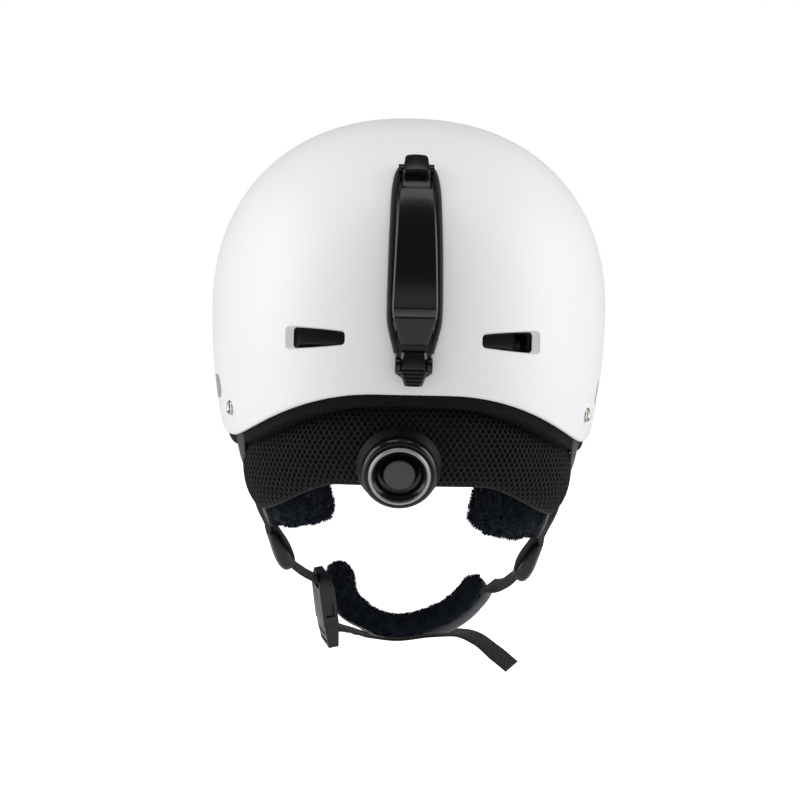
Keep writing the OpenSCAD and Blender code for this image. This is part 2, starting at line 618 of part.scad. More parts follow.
// Divider: a thick D shaped sleeve that both webs run through
module divider(at, dir) {
    color([0.05, 0.05, 0.06]) aligned(at, dir) difference() {
        hull() {
            for (v = [-1, 1]) translate([0, v * 13.5, 2.5]) rotate([0, 90, 0])
                cylinder(r = 3.5, h = tunnel_t + 3, center = true, $fn = 32);
            translate([0, 0, -2]) rotate([0, 90, 0])
                cylinder(r = 5, h = tunnel_t + 2, center = true, $fn = 32);
        }
        cube([tunnel_t, tunnel_w, 40], center = true);
    }
}
module divider_left() divider(divider_left_at, divider_left_dir);
module divider_right() divider(divider_right_at, divider_right_dir);
// Places a child at the buckle: +Z up along its axis, +X across its width
module at_buckle() {
    x = unit([-0.2, 1, 0]);
    z = -buckle_dir;
    y = unit(cross(z, x));
    w = cross(y, z);
    multmatrix([[w[0], y[0], z[0], socket_top[0]], [w[1], y[1], z[1], socket_top[1]],
                [w[2], y[2], z[2], socket_top[2]]]) children();
}
prong_w = 4;
socket_wall = 1.8;
module buckle_socket() {
    color([0.04, 0.04, 0.05]) at_buckle() difference() {
        hull() {
            translate([0, 0, -socket_l + 2]) cube([buckle_w, buckle_t, 4], center = true);
            translate([0, 0, -7]) cube([buckle_w - 1, buckle_t, 4], center = true);
            translate([0, 0, 1]) cube([buckle_w - 5, buckle_t - 4, 4], center = true);
        }
        translate([0, 0, -socket_l - 0.1])
            translate([-buckle_w / 2 + socket_wall, -buckle_t / 2 + socket_wall, 0])
            cube([buckle_w - 2 * socket_wall, buckle_t - 2 * socket_wall, socket_l - 9]);
        // windows at the sides for the prongs' knobs
        translate([0, 0, -socket_l + 9.5]) cube([buckle_w + 2, buckle_t - 4, 8], center = true);
        // slot for the webbing
        translate([0, 0, -4]) cube([web_w + 1, buckle_t + 2, 2.4], center = true);
    }
}
module buckle_plug() {
    reach = socket_l - 11;
    color([0.04, 0.04, 0.05]) at_buckle() translate([0, 0, -socket_l]) difference() {
        union() {
            hull() {
                translate([0, 0, -2.3]) cube([buckle_w - 1, buckle_t - 1, 4], center = true);
                translate([0, 0, -12]) cube([buckle_w - 3, buckle_t - 3, 4], center = true);
            }
            for (side = [-1, 1]) {
                translate([side * (buckle_w / 2 - socket_wall - prong_w / 2 - seat_gap), 0, reach / 2 - 1])
                    cube([prong_w, buckle_t - 2 * socket_wall - 2 * seat_gap, reach], center = true);
                translate([side * (buckle_w / 2 - socket_wall - 2.5 - seat_gap), 0, 9.5])
                    cylinder(d = 5, h = buckle_t - 2 * socket_wall - 2 * seat_gap, center = true);
            }
            translate([0, 0, reach / 2 - 1])
                cube([3, buckle_t - 2 * socket_wall - 2 * seat_gap, reach], center = true);
        }
        for (z = [-5.5, -11]) translate([0, 0, z]) cube([web_w + 1, buckle_t + 2, 2.4], center = true);
    }
}
module chin_web() {
    color([0.1, 0.1, 0.11])
        strap(along(chin_web_route, 36),
            [for (i = [0 : 36]) mix([0, 1, 0.08], slot_dir, min(1, max(0, (9 - i) / 4)))], web_w, web_t);
}
// Chin pad: a fleece tube on a smooth backing strip
module chin_pad() {
    route = along(pad_route, 24);
    n = len(route);
    color([0.08, 0.09, 0.12]) loft([for (i = [0 : n - 1])
        let (d = unit(route[min(n - 1, i + 1)] - route[max(0, i - 1)]), side = unit([0, 1, 0] - d[1] * d),
             up = cross(d, side), e = min(1, 0.35 + 4 * sin(180 * i / (n - 1))))
        [for (k = [0 : 11]) route[i] + e * pad_half * spow(cos(30 * k), 0.8) * side
            + e * chin_pad_t / 2 * spow(sin(30 * k), 0.8) * up]]);
}
module chin_pad_backing() {
    lift = chin_pad_t / 2 + seat_gap + 0.6;
    route = along(pad_route, 24);
    n = len(route);
    inner = [for (i = [2 : n - 3])
        let (d = unit(route[i + 1] - route[i - 1]), side = unit([0, 1, 0] - d[1] * d))
        route[i] - lift * cross(d, side)];
    color([0.35, 0.35, 0.36]) strap(inner, [for (p = inner) [0, 1, 0]], 2 * pad_half - 3, 1.2);
}

outer_shell();
foam_liner();
strap_rivets();
crown_pad();
brow_pad();
side_pads();
clip_base();
clip_screws();
clip_arm();
clip_arm_pin();
clip_latch();
clip_latch_pin();
clip_elastic_loop();
neck_roll();
dial_housing();
dial_back_plate();
dial_pinion();
dial_knob();
dial_ring();
dial_cap();
dial_screw();
rack_left();
rack_right();
headband_left();
headband_right();
ear_pad_left();
ear_pad_right();
ear_cover_left();
ear_cover_right();
ear_snaps();
web_rear_left();
web_front_left();
web_rear_right();
web_front_right();
divider_left();
divider_right();
buckle_socket();
buckle_plug();
chin_web();
chin_pad();
chin_pad_backing();
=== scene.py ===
import bisect
import json
import math
import random

import bmesh
import bpy
from mathutils import Matrix, Vector


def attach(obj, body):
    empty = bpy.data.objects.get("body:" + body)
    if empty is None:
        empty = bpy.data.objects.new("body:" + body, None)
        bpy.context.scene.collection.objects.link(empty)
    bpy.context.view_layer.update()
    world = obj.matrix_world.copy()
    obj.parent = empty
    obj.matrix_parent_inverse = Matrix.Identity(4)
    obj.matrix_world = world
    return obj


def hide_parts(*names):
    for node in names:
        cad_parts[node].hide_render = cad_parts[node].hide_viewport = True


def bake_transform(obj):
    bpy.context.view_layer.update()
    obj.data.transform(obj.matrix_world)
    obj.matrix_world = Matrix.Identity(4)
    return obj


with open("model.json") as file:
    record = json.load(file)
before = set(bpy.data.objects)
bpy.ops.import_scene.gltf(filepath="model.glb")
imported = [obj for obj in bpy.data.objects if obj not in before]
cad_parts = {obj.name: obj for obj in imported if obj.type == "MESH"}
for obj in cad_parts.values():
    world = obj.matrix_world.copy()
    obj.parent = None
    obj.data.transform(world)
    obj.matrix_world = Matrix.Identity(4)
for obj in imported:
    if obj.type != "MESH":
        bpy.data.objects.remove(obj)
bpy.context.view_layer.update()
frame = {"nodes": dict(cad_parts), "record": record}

# A ski helmet seen from behind, built round its fixed frame of solids.
# Lengths are millimetres until a mesh is made, which turns them to metres.
MM = 0.001

# ---- sizes shared with the frame ----
HALF_W = 111
HALF_L = 136
MID_Y = 1
CROWN_Z = 159
BELT_Z = 51
BROW_Z = 27
LOBE_Z = -21
NAPE_Z = 2.6
BROW_ANGLE = 38
LOBE_ANGLE = 111
NAPE_SPAN = 60
PROFILE_ROUND = 2.2
PLAN_ROUND = 2.25
PROFILE_POWER = 2 / PROFILE_ROUND
PLAN_POWER = 2 / PLAN_ROUND
SHELL_WALL = 2.5
FOAM_INSET = 2.8
FOAM_WALL = 24
FOAM_SHOW = 6.5
SEAT = 0.3
TUCK_SHARE = 0.036
TUCK_DROP = 50
WAVE_SHARE = 6.3


# ---- small mathematics ----
def mix(a, b, u):
    return a + (b - a) * u


def smoothstep(u):
    u = min(1.0, max(0.0, u))
    return u * u * (3 - 2 * u)


def signed_power(v, p):
    return math.copysign(abs(v) ** p, v)


def fold(angle):
    return abs((angle + 180) % 360 - 180)


def rim_z(angle):
    """Height of the shell's edge at an angle from the front of the plan."""
    a = fold(angle)
    if a < BROW_ANGLE:
        return BROW_Z
    if a < LOBE_ANGLE:
        return mix(BROW_Z, LOBE_Z, smoothstep((a - BROW_ANGLE) / (LOBE_ANGLE - BROW_ANGLE)))
    return mix(LOBE_Z, NAPE_Z, smoothstep((a - LOBE_ANGLE) / NAPE_SPAN) ** 0.85)


def tuck(z):
    """Share of the full plan that is left below the belt, where the shell turns in."""
    return 1 - TUCK_SHARE * (max(0, BELT_Z - z) / TUCK_DROP) ** 2


def plan_point(angle, z, inset):
    a = math.radians(angle)
    return Vector((tuck(z) * (HALF_W - inset) * signed_power(math.sin(a), PLAN_POWER),
                   MID_Y + tuck(z) * (HALF_L - inset) * signed_power(math.cos(a), PLAN_POWER), z))


def dome_point(angle, s, inset, drop=0):
    """Point of the helmet's dome: s runs 0 to 1 from crown to belt, 1 to 2 from belt to edge."""
    a = math.radians(angle)
    if s < 1:
        phi = math.radians(90 * s)
        z = BELT_Z + (CROWN_Z - BELT_Z - inset) * math.cos(phi) ** PROFILE_POWER
        f = math.sin(phi) ** PROFILE_POWER
    else:
        z = mix(BELT_Z, rim_z(angle) - drop, s - 1)
        f = tuck(z)
    return Vector((f * (HALF_W - inset) * signed_power(math.sin(a), PLAN_POWER),
                   MID_Y + f * (HALF_L - inset) * signed_power(math.cos(a), PLAN_POWER), z))


def dome_share(z):
    if z <= BELT_Z:
        return tuck(z)
    return (1 - ((z - BELT_Z) / (CROWN_Z - BELT_Z)) ** PROFILE_ROUND) ** (1 / PROFILE_ROUND)


def rear_skin(x, z):
    """Point on the rear of the shell straight behind x and z."""
    f = dome_share(z)
    side = min(0.999, abs(x) / (f * HALF_W))
    depth = f * HALF_L * (1 - side ** PLAN_ROUND) ** (1 / PLAN_ROUND)
    return Vector((x, MID_Y - depth, z))


def curve_point(points, u):
    n = len(points) - 1
    i = min(n - 1, int(u * n))
    t = u * n - i
    a, b = points[max(0, i - 1)], points[i]
    c, d = points[i + 1], points[min(n, i + 2)]
    return 0.5 * (2 * b + t * (c - a) + t * t * (2 * a - 5 * b + 4 * c - d)
                  + t ** 3 * (3 * b - 3 * c + d - a))


def curve_through(points, steps):
    points = [Vector(p) for p in points]
    return [curve_point(points, i / steps) for i in range(steps + 1)]


# ---- meshes ----
def make_object(name, points, faces, smooth=True, uv=None):
    mesh = bpy.data.meshes.new(name)
    mesh.from_pydata([Vector(p) * MM for p in points], [], faces)
    mesh.validate()
    if uv:
        layer = mesh.uv_layers.new(name="UVMap")
        for loop in mesh.loops:
            layer.data[loop.index].uv = uv[loop.vertex_index]
    obj = bpy.data.objects.new(name, mesh)
    bpy.context.collection.objects.link(obj)
    bm = bmesh.new()
    bm.from_mesh(mesh)
    bmesh.ops.recalc_face_normals(bm, faces=bm.faces)
    bm.to_mesh(mesh)
    bm.free()
    if smooth:
        mesh.shade_smooth()
    return obj


def loft(name, rings, smooth=True):
    """Closed mesh through a row of rings. Its UV map is in millimetres: along, around."""
    m = len(rings[0])
    n = len(rings)
    centres = [sum(ring, Vector()) / m for ring in rings]
    points = [p for ring in rings for p in ring] + [centres[0], centres[-1]]
    faces = [(i * m + j, i * m + (j + 1) % m, (i + 1) * m + (j + 1) % m, (i + 1) * m + j)
             for i in range(n - 1) for j in range(m)]
    faces += [(j, n * m, (j + 1) % m) for j in range(m)]
    faces += [((n - 1) * m + j, (n - 1) * m + (j + 1) % m, n * m + 1) for j in range(m)]
    along = [0.0]
    for a, b in zip(centres, centres[1:]):
        along.append(along[-1] + (b - a).length)
    widest = rings[n // 2]
    around = [0.0]
    for a, b in zip(widest, widest[1:]):
        around.append(around[-1] + (b - a).length)
    uv = [(along[i], around[j]) for i in range(n) for j in range(m)] + [(0, 0), (along[-1], 0)]
    return make_object(name, points, faces, smooth, uv)


def ring_loft(name, rings):
    """Closed band: the last ring joins the first again, so it has no end faces."""
    m = len(rings[0])
    n = len(rings)
    points = [p for ring in rings for p in ring]
    faces = [(i * m + j, i * m + (j + 1) % m,
              ((i + 1) % n) * m + (j + 1) % m, ((i + 1) % n) * m + j)
             for i in range(n) for j in range(m)]
    return make_object(name, points, faces)


def modify(obj, kind, **settings):
    modifier = obj.modifiers.new(kind.lower(), kind)
    for key, value in settings.items():
        setattr(modifier, key, value)
    return modifier


def apply_modifiers(obj):
    depsgraph = bpy.context.evaluated_depsgraph_get()
    mesh = bpy.data.meshes.new_from_object(obj.evaluated_get(depsgraph))
    obj.modifiers.clear()
    obj.data = mesh
    return obj


def shade_by_angle(obj, degrees=32):
    """Smooth faces that meet at less than the angle, and keep the sharper edges."""
    obj.data.shade_smooth()
    bm = bmesh.new()
    bm.from_mesh(obj.data)
    for edge in bm.edges:
        if len(edge.link_faces) == 2 and edge.calc_face_angle(0) > math.radians(degrees):
            edge.smooth = False
    bm.to_mesh(obj.data)
    bm.free()
    return obj


def copy_of(node, name):
    """A fresh, merged copy of a solid's mesh, with its flat faces joined up."""
    source = frame["nodes"][node]
    mesh = source.data.copy()
    mesh.name = name
    mesh.transform(source.matrix_world)
    obj = bpy.data.objects.new(name, mesh)
    bpy.context.collection.objects.link(obj)
    bm = bmesh.new()
    bm.from_mesh(mesh)
    bmesh.ops.remove_doubles(bm, verts=bm.verts, dist=1e-5)
    bmesh.ops.dissolve_limit(bm, angle_limit=math.radians(1.5), verts=bm.verts, edges=bm.edges)
    bmesh.ops.recalc_face_normals(bm, faces=bm.faces)
    bm.to_mesh(mesh)
    bm.free()
    mesh.materials.clear()
    return obj


def rounded_copy(node, name, radius, segments=3):
    """A moulded piece: the solid with its edges rounded."""
    obj = copy_of(node, name)
    modify(obj, "BEVEL", width=radius * MM, segments=segments, limit_method="ANGLE",
           angle_limit=math.radians(28), harden_normals=False, use_clamp_overlap=True)
    apply_modifiers(obj)
    return shade_by_angle(obj, 40)


def dome_shell(name, inset_out, inset_in, drop, columns, ups, lows, lip):
    """Double-walled dome with a rounded edge of the given lip radius."""
    rows = [i / ups for i in range(1, ups + 1)] + [1 + i / lows for i in range(1, lows + 1)]
    rows[0:0] = [0.35 / ups]
    sheet = [(s, inset_out, 0.0) for s in rows[:-1]]
    middle = (inset_out + inset_in) / 2
    half = (inset_in - inset_out) / 2
    for k in range(7):
        a = math.pi * k / 6
        sheet.append((2, middle - half * math.cos(a), lip * (math.sin(a) - 1)))
    sheet += [(s, inset_in, 0.0) for s in reversed(rows[:-1])]
    angles = [360 * j / columns for j in range(columns)]
    rings = [[dome_point(a, s, inset, drop + down) for a in angles] for s, inset, down in sheet]
    return loft(name, rings)


# ---- materials ----
def colour(code):
    """An sRGB hex colour as linear RGBA."""
    parts = [int(code[i:i + 2], 16) / 255 for i in (1, 3, 5)]
    return tuple(c / 12.92 if c <= 0.04045 else ((c + 0.055) / 1.055) ** 2.4 for c in parts) + (1,)


def add(tree, kind, settings=None, **inputs):
    """Adds a node with its settings; an input is a value or another node's socket."""
    node = tree.nodes.new(kind)
    for key, value in (settings or {}).items():
        setattr(node, key, value)
    for key, value in inputs.items():
        socket = node.inputs[int(key[1:])] if key[0] == "i" and key[1:].isdigit() else \
            node.inputs[key.replace("_", " ")]
        if isinstance(value, bpy.types.NodeSocket):
            tree.links.new(value, socket)
        else:
            socket.default_value = value
    return node


def new_material(name, base, roughness, **shader):
    """A material with its shader; returns it with its node tree and shader node."""
    material = bpy.data.materials.new(name)
    material.use_nodes = True
    tree = material.node_tree
    bsdf = tree.nodes["Principled BSDF"]
    bsdf.inputs["Base Color"].default_value = colour(base)
    bsdf.inputs["Roughness"].default_value = roughness
    for key, value in shader.items():
        bsdf.inputs[key.replace("_", " ")].default_value = value
    return material, tree, bsdf


def place(tree):
    return add(tree, "ShaderNodeTexCoord").outputs["Object"]


def roughen(tree, bsdf, height, distance, strength=1.0):
    bump = add(tree, "ShaderNodeBump", None, Strength=strength, Distance=distance * MM,
               Height=height)
    tree.links.new(bump.outputs["Normal"], bsdf.inputs["Normal"])


def vary(tree, bsdf, socket, factor, low, high):
    """Spreads a colour or a roughness between two values by a pattern."""
    if isinstance(low, str):
        ramp = add(tree, "ShaderNodeMix", {"data_type": "RGBA"}, Factor=factor)
        ramp.inputs[6].default_value = colour(low)
        ramp.inputs[7].default_value = colour(high)
        tree.links.new(ramp.outputs[2], bsdf.inputs[socket])
    else:
        span = add(tree, "ShaderNodeMapRange", None, Value=factor, To_Min=low, To_Max=high)
        tree.links.new(span.outputs[0], bsdf.inputs[socket])


def noise_at(tree, vector, size, detail=3.0):
    """Noise whose grain is the given size in millimetres."""
    return add(tree, "ShaderNodeTexNoise", None, Vector=vector, Scale=1 / (size * MM),
               Detail=detail).outputs["Fac"]


def painted_abs():
    """Painted ABS, sprayed matte: faint orange peel, a soft broad highlight."""
    material, tree, bsdf = new_material("matte_white_paint", "#EFEFF1", 0.42, IOR=1.46)
    where = place(tree)
    roughen(tree, bsdf, noise_at(tree, where, 0.9, 2.0), 0.012)
    vary(tree, bsdf, "Roughness", noise_at(tree, where, 14), 0.38, 0.5)
    vary(tree, bsdf, "Base Color", noise_at(tree, where, 60, 1.0), "#EDEDF0", "#F2F2F3")
    return material


def bead_foam():
    """Moulded polystyrene bead foam: close black beads 3 mm across, dull."""
    material, tree, bsdf = new_material("bead_foam", "#0C0C0E", 0.82, Specular_IOR_Level=0.2)
    cells = add(tree, "ShaderNodeTexVoronoi", {"feature": "DISTANCE_TO_EDGE"},
                Vector=place(tree), Scale=1 / (3.0 * MM))
    edge = add(tree, "ShaderNodeMapRange", None, Value=cells.outputs["Distance"],
               From_Max=0.12, To_Min=0.0, To_Max=1.0).outputs[0]
    vary(tree, bsdf, "Base Color", edge, "#050506", "#0F0F11")
    roughen(tree, bsdf, edge, 0.25)
    return material


def glossy_nylon(name="glossy_nylon", base="#0A0A0C", roughness=0.2):
    """Injection-moulded nylon from a polished tool: deep black, a clear highlight."""
    material, tree, bsdf = new_material(name, base, roughness, IOR=1.53)
    where = place(tree)
    roughen(tree, bsdf, noise_at(tree, where, 2.2), 0.01)
    vary(tree, bsdf, "Roughness", noise_at(tree, where, 7), roughness * 0.8, roughness * 1.3)
    return material


def textured_nylon():
    """Nylon from a spark-eroded tool: fine grain, low sheen."""
    material, tree, bsdf = new_material("grained_nylon", "#060607", 0.6, IOR=1.3)
    where = place(tree)
    roughen(tree, bsdf, noise_at(tree, where, 0.35, 2.0), 0.03)
    vary(tree, bsdf, "Roughness", noise_at(tree, where, 5), 0.44, 0.58)
    return material


def band_scale(spacing):
    """Scale of a wave texture: the smaller the spacing, the closer its bands lie."""
    return 1 / spacing / WAVE_SHARE


def mesh_cloth():
    """Warp-knitted polyester spacer mesh: each yarn loop catches a little light."""
    material, tree, bsdf = new_material("spacer_mesh", "#0A0A0C", 0.75, Sheen_Weight=0.06,
                                        Sheen_Roughness=0.4, Specular_IOR_Level=0.3)
    where = place(tree)
    knit = add(tree, "ShaderNodeTexWave", {"bands_direction": "DIAGONAL"}, Vector=where,
               Scale=band_scale(0.9 * MM), Distortion=1.5).outputs["Fac"]
    roughen(tree, bsdf, knit, 0.06)
    vary(tree, bsdf, "Base Color", noise_at(tree, where, 1.2), "#060608", "#131316")
    return material


def fleece_pile():
    """Polyester sherpa fleece, dyed midnight blue: soft clumps, a dusty rim of light."""
    material, tree, bsdf = new_material("midnight_fleece", "#0C0F16", 0.9, Sheen_Weight=0.6,
                                        Sheen_Roughness=0.35, Specular_IOR_Level=0.2)
    bsdf.inputs["Sheen Tint"].default_value = colour("#6E7B94")
    where = place(tree)
    vary(tree, bsdf, "Base Color", noise_at(tree, where, 5, 5.0), "#04060A", "#1C2432")
    roughen(tree, bsdf, noise_at(tree, where, 1.1, 4.0), 0.5)
    return material


def stretch_cloth(name="stretch_cloth", low="#131316", high="#222227"):
    """Smooth knitted jersey bonded to foam: an even matte face with a fine knit."""
    material, tree, bsdf = new_material(name, low, 0.8, Sheen_Weight=0.25, Sheen_Roughness=0.5)
    where = place(tree)
    knit = add(tree, "ShaderNodeTexWave", {"bands_direction": "Z"}, Vector=where,
               Scale=band_scale(0.8 * MM), Distortion=2.0).outputs["Fac"]
    roughen(tree, bsdf, knit, 0.05)
    vary(tree, bsdf, "Base Color", noise_at(tree, where, 2.5), low, high)
    return material


def woven_webbing():
    """Woven polyester webbing: ribs across it and a twill between them."""
    material, tree, bsdf = new_material("polyester_webbing", "#17181B", 0.62, Sheen_Weight=0.2,
                                        Sheen_Roughness=0.4)
    strand = add(tree, "ShaderNodeUVMap").outputs["UV"]
    ribs = add(tree, "ShaderNodeTexWave", {"bands_direction": "Y"}, Vector=strand,
               Scale=band_scale(1.1)).outputs["Fac"]
    picks = add(tree, "ShaderNodeTexWave", {"bands_direction": "DIAGONAL"}, Vector=strand,
                Scale=band_scale(0.8)).outputs["Fac"]
    weave = add(tree, "ShaderNodeMath", {"operation": "MULTIPLY"}, i0=ribs, i1=picks).outputs[0]
    vary(tree, bsdf, "Base Color", weave, "#0B0C0E", "#2A2B30")
    roughen(tree, bsdf, weave, 0.22)
    return material


def braided_cover():
    """Elastic cord in a braided polyester cover, with fine strands crossing."""
    material, tree, bsdf = new_material("braided_elastic", "#0D0D10", 0.6, Sheen_Weight=0.2)
    strand = add(tree, "ShaderNodeUVMap").outputs["UV"]
    one = add(tree, "ShaderNodeTexWave", {"bands_direction": "DIAGONAL"}, Vector=strand,
              Scale=band_scale(0.8)).outputs["Fac"]
    vary(tree, bsdf, "Base Color", one, "#040405", "#131317")
    roughen(tree, bsdf, one, 0.12)
    return material


def plated_metal(name, base, roughness):
    """Nickel-plated steel: tumbled, with faint handling marks."""
    material, tree, bsdf = new_material(name, base, roughness, Metallic=1.0)
    where = place(tree)
    vary(tree, bsdf, "Roughness", noise_at(tree, where, 1.5), roughness * 0.8, roughness * 1.5)
    roughen(tree, bsdf, noise_at(tree, where, 0.6), 0.01)
    return material


def satin_silver():
    """Silver-lacquered plastic ring: brushed round, satin."""
    material, tree, bsdf = new_material("satin_silver", "#A5A7AB", 0.34, Metallic=0.75)
    where = place(tree)
    roughen(tree, bsdf, noise_at(tree, where, 0.4), 0.012)
    vary(tree, bsdf, "Roughness", noise_at(tree, where, 4), 0.28, 0.42)
    return material


def moulded_acetal():
    """Natural acetal: milky, slippery, slightly translucent to the eye."""
    material, tree, bsdf = new_material("natural_acetal", "#C9C8C2", 0.35, IOR=1.48)
    roughen(tree, bsdf, noise_at(tree, place(tree), 1.5), 0.01)
    return material


FINISH = {
    "shell_white": painted_abs(), "foam": bead_foam(),
    "rivet_metal": plated_metal("nickel_rivet", "#C9C6BD", 0.24),
    "liner_fabric": stretch_cloth("brushed_liner", "#141417", "#26262B"),
    "clip_black": glossy_nylon(),
    "screw_steel": plated_metal("zinc_steel", "#8E9094", 0.3), "elastic": braided_cover(),
    "air_mesh": mesh_cloth(), "fit_black": textured_nylon(), "acetal": moulded_acetal(),
    "dial_dark": glossy_nylon("dial_nylon", "#0E0E10", 0.14), "dial_silver": satin_silver(),
    "dial_cap_grey": glossy_nylon("cap_grey", "#3C3C3E", 0.42), "fleece": fleece_pile(),
    "ear_cloth": stretch_cloth("ear_jersey", "#1A1B1F", "#2C2D33"), "webbing": woven_webbing(),
    "buckle_black": glossy_nylon("buckle_acetal", "#0B0B0D", 0.26),
    # The backing's grey is partly its real light-grey cloth and partly painted light: it is raised
    # to look lit, though the strip hangs facing down and gets little lamp light.
    "backing_grey": stretch_cloth("backing_jersey_with_painted_light", "#8E8F94", "#A6A7AC"),
}


def dress(obj, slot, body="root", nodes=()):
    """Gives a piece its finish, its body and the solids it stands for."""
    obj.data.materials.clear()
    obj.data.materials.append(FINISH[slot])
    if body:
        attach(obj, body)
    if nodes:
        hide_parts(*nodes)
    return obj


# ---- shell and liner ----
VENT_X = 50
VENT_Z = 32
VENT_W = 27
VENT_H = 11


def vent_outline(side, margin, outer_margin, count=12):
    """Rounded outline of a rear vent as x, z points; it is taller at its outer end."""
    radius = 2.0 + margin * 0.6
    corners = []
    for end, share in ((-1, 0.62), (1, 1.0)):
        grow = outer_margin if end > 0 else margin
        for up in ((-1, 1) if end < 0 else (1, -1)):
            x = VENT_X + end * (VENT_W / 2 - 2) + end * (grow - margin * 0.6)
            z = VENT_Z + up * (VENT_H / 2 * share - 2 + margin * 0.4)
            corners.append((x, z))
    outline = []
    turn = [math.pi * 1.5, math.pi, math.pi * 0.5, 0.0]
    for (x, z), start in zip(corners, turn):
        for k in range(count):
            a = start - math.pi / 2 * k / (count - 1)
            outline.append((side * (x + radius * math.cos(a)), z + radius * math.sin(a)))
    return outline


def vent_cutter(side, margin, outer_margin, deep):
    outline = vent_outline(side, margin, outer_margin)
    rings = [[rear_skin(x, z) + Vector((0, y, 0)) for x, z in outline] for y in (-6, deep)]
    return loft("cutter", rings, smooth=False)


def side_cutter(side):
    rings = []
    for x in (HALF_W - 16, HALF_W + 6):
        ring = []
        for k in range(48):
            a = 2 * math.pi * k / 48
            y = math.copysign(10, math.cos(a)) + 6.5 * math.cos(a) - 24
            ring.append(Vector((side * x, y, 6 + 6.5 * math.sin(a))))
        rings.append(ring)
    return loft("cutter", rings, smooth=False)


def front_cutter(side):
    rings = []
    for y in (HALF_L - 44, HALF_L + 8):
        ring = []
        for k in range(40):
            a = 2 * math.pi * k / 40
            end = math.copysign(1, math.cos(a))
            ring.append(Vector((side * 34 + end * 13 + 4 * math.cos(a), y,
                                92 - end * side * 3 + 4 * math.sin(a))))
        rings.append(ring)
    return loft("cutter", rings, smooth=False)


def cut(obj, cutters):
    for cutter in cutters:
        modifier = modify(obj, "BOOLEAN", operation="DIFFERENCE", solver="EXACT", object=cutter)
        modifier.name = "cut_" + cutter.name
    apply_modifiers(obj)
    for cutter in cutters:
        bpy.data.objects.remove(cutter)
    return obj


def make_shell():
    shell = dome_shell("shell", 0, SHELL_WALL, 0, 160, 44, 22, lip=1.2)
    cutters = [vent_cutter(side, 0.9, 4.4, 10) for side in (-1, 1)]
    cutters += [side_cutter(side) for side in (-1, 1)] + [front_cutter(side) for side in (-1, 1)]
    cut(shell, cutters)
    shade_by_angle(shell, 38)
    return dress(shell, "shell_white", nodes=["outer_shell"])


def make_vent_frame(side):
    """Moulded funnel of a rear vent: a sloped face, then a straight wall inwards."""
    name = "vent_frame_right" if side > 0 else "vent_frame_left"
    steps = [(0.95, 4.45, 0.0), (0.8, 4.2, 0.35), (0.25, 1.2, 2.6), (0.0, 0.0, 3.6),
             (0.0, 0.0, 9.0), (1.0, 4.5, 9.0), (1.0, 4.5, 0.1)]
    rings = [[rear_skin(x, z) + Vector((0, deep, 0)) for x, z in vent_outline(side, a, b)]
             for a, b, deep in steps]
    obj = ring_loft(name, rings)
    shade_by_angle(obj, 35)
    return dress(obj, "shell_white")


def make_liner():
    liner = dome_shell("bead_foam_liner", FOAM_INSET, FOAM_INSET + FOAM_WALL, FOAM_SHOW,
                       144, 36, 16, lip=1.4)
    cutters = [vent_cutter(side, -0.2, -0.2, 46) for side in (-1, 1)]
    cutters += [side_cutter(side) for side in (-1, 1)] + [front_cutter(side) for side in (-1, 1)]
    cut(liner, cutters)
    shade_by_angle(liner, 38)
    return dress(liner, "foam", nodes=["foam_liner"])


RIVETS = [(side, angle, z) for side in (-1, 1) for angle, z in ((113.5, -6), (70, 17))]


def make_rivets():
    """Nickel rivets: a rolled rim round a shallow pan."""
    profile = [(0.02, 0.5), (1.2, 0.46), (1.9, 0.3), (2.1, 0.35), (2.4, 0.85),
               (2.9, 1.05), (3.4, 0.9), (3.8, 0.6), (4.0, 0.2), (4.0, -0.3)]
    points, faces = [], []
    for side, angle, z in RIVETS:
        centre = plan_point(side * angle, z, 0)
        normal = Vector((centre.x, centre.y * 0.72, 0)).normalized()
        across = Vector((0, 0, 1)).cross(normal)
        start = len(points)
        for k in range(36):
            a = 2 * math.pi * k / 36
            radial = across * math.cos(a) + Vector((0, 0, math.sin(a)))
            points += [centre + radial * r + normal * (h + 0.3) for r, h in profile]
        m = len(profile)
        for k in range(36):
            for j in range(m - 1):
                a, b = start + k * m + j, start + (k + 1) % 36 * m + j
                faces.append((a, b, b + 1, a + 1))
    rivets = make_object("eyelet_rivets", points, faces)
    return dress(rivets, "rivet_metal", nodes=["strap_rivets"])


# ---- goggle clip ----
def rear_normal(z):
    slope = rear_skin(0, z + 0.5).y - rear_skin(0, z - 0.5).y
    return Vector((0, -1, slope)).normalized()


def rear_at(x, z, off):
    return Vector((x, rear_skin(0, z).y, z)) + rear_normal(z) * off


def clip_bar(name, stations, bevel=2.4, crown=0.5, sides=5):
    """Bar along the rear centre line with chamfered sides and a slightly crowned face."""
    rings = []
    for z, low, high, width in stations:
        half = width / 2
        ring = [rear_at(-half + 0.3, z, low), rear_at(half - 0.3, z, low),
                rear_at(half, z, low + 0.4), rear_at(half, z, max(low + 0.8, high - bevel))]
        for k in range(sides + 1):
            u = 1 - 2 * k / sides
            ring.append(rear_at(u * (half - bevel), z, high + crown * (1 - u * u)))
        ring += [rear_at(-half, z, max(low + 0.8, high - bevel)), rear_at(-half, z, low + 0.4)]
        rings.append(ring)
    obj = loft(name, rings)
    modify(obj, "BEVEL", width=0.35 * MM, segments=3, limit_method="ANGLE",
           angle_limit=math.radians(22))
    apply_modifiers(obj)
    return shade_by_angle(obj, 50)


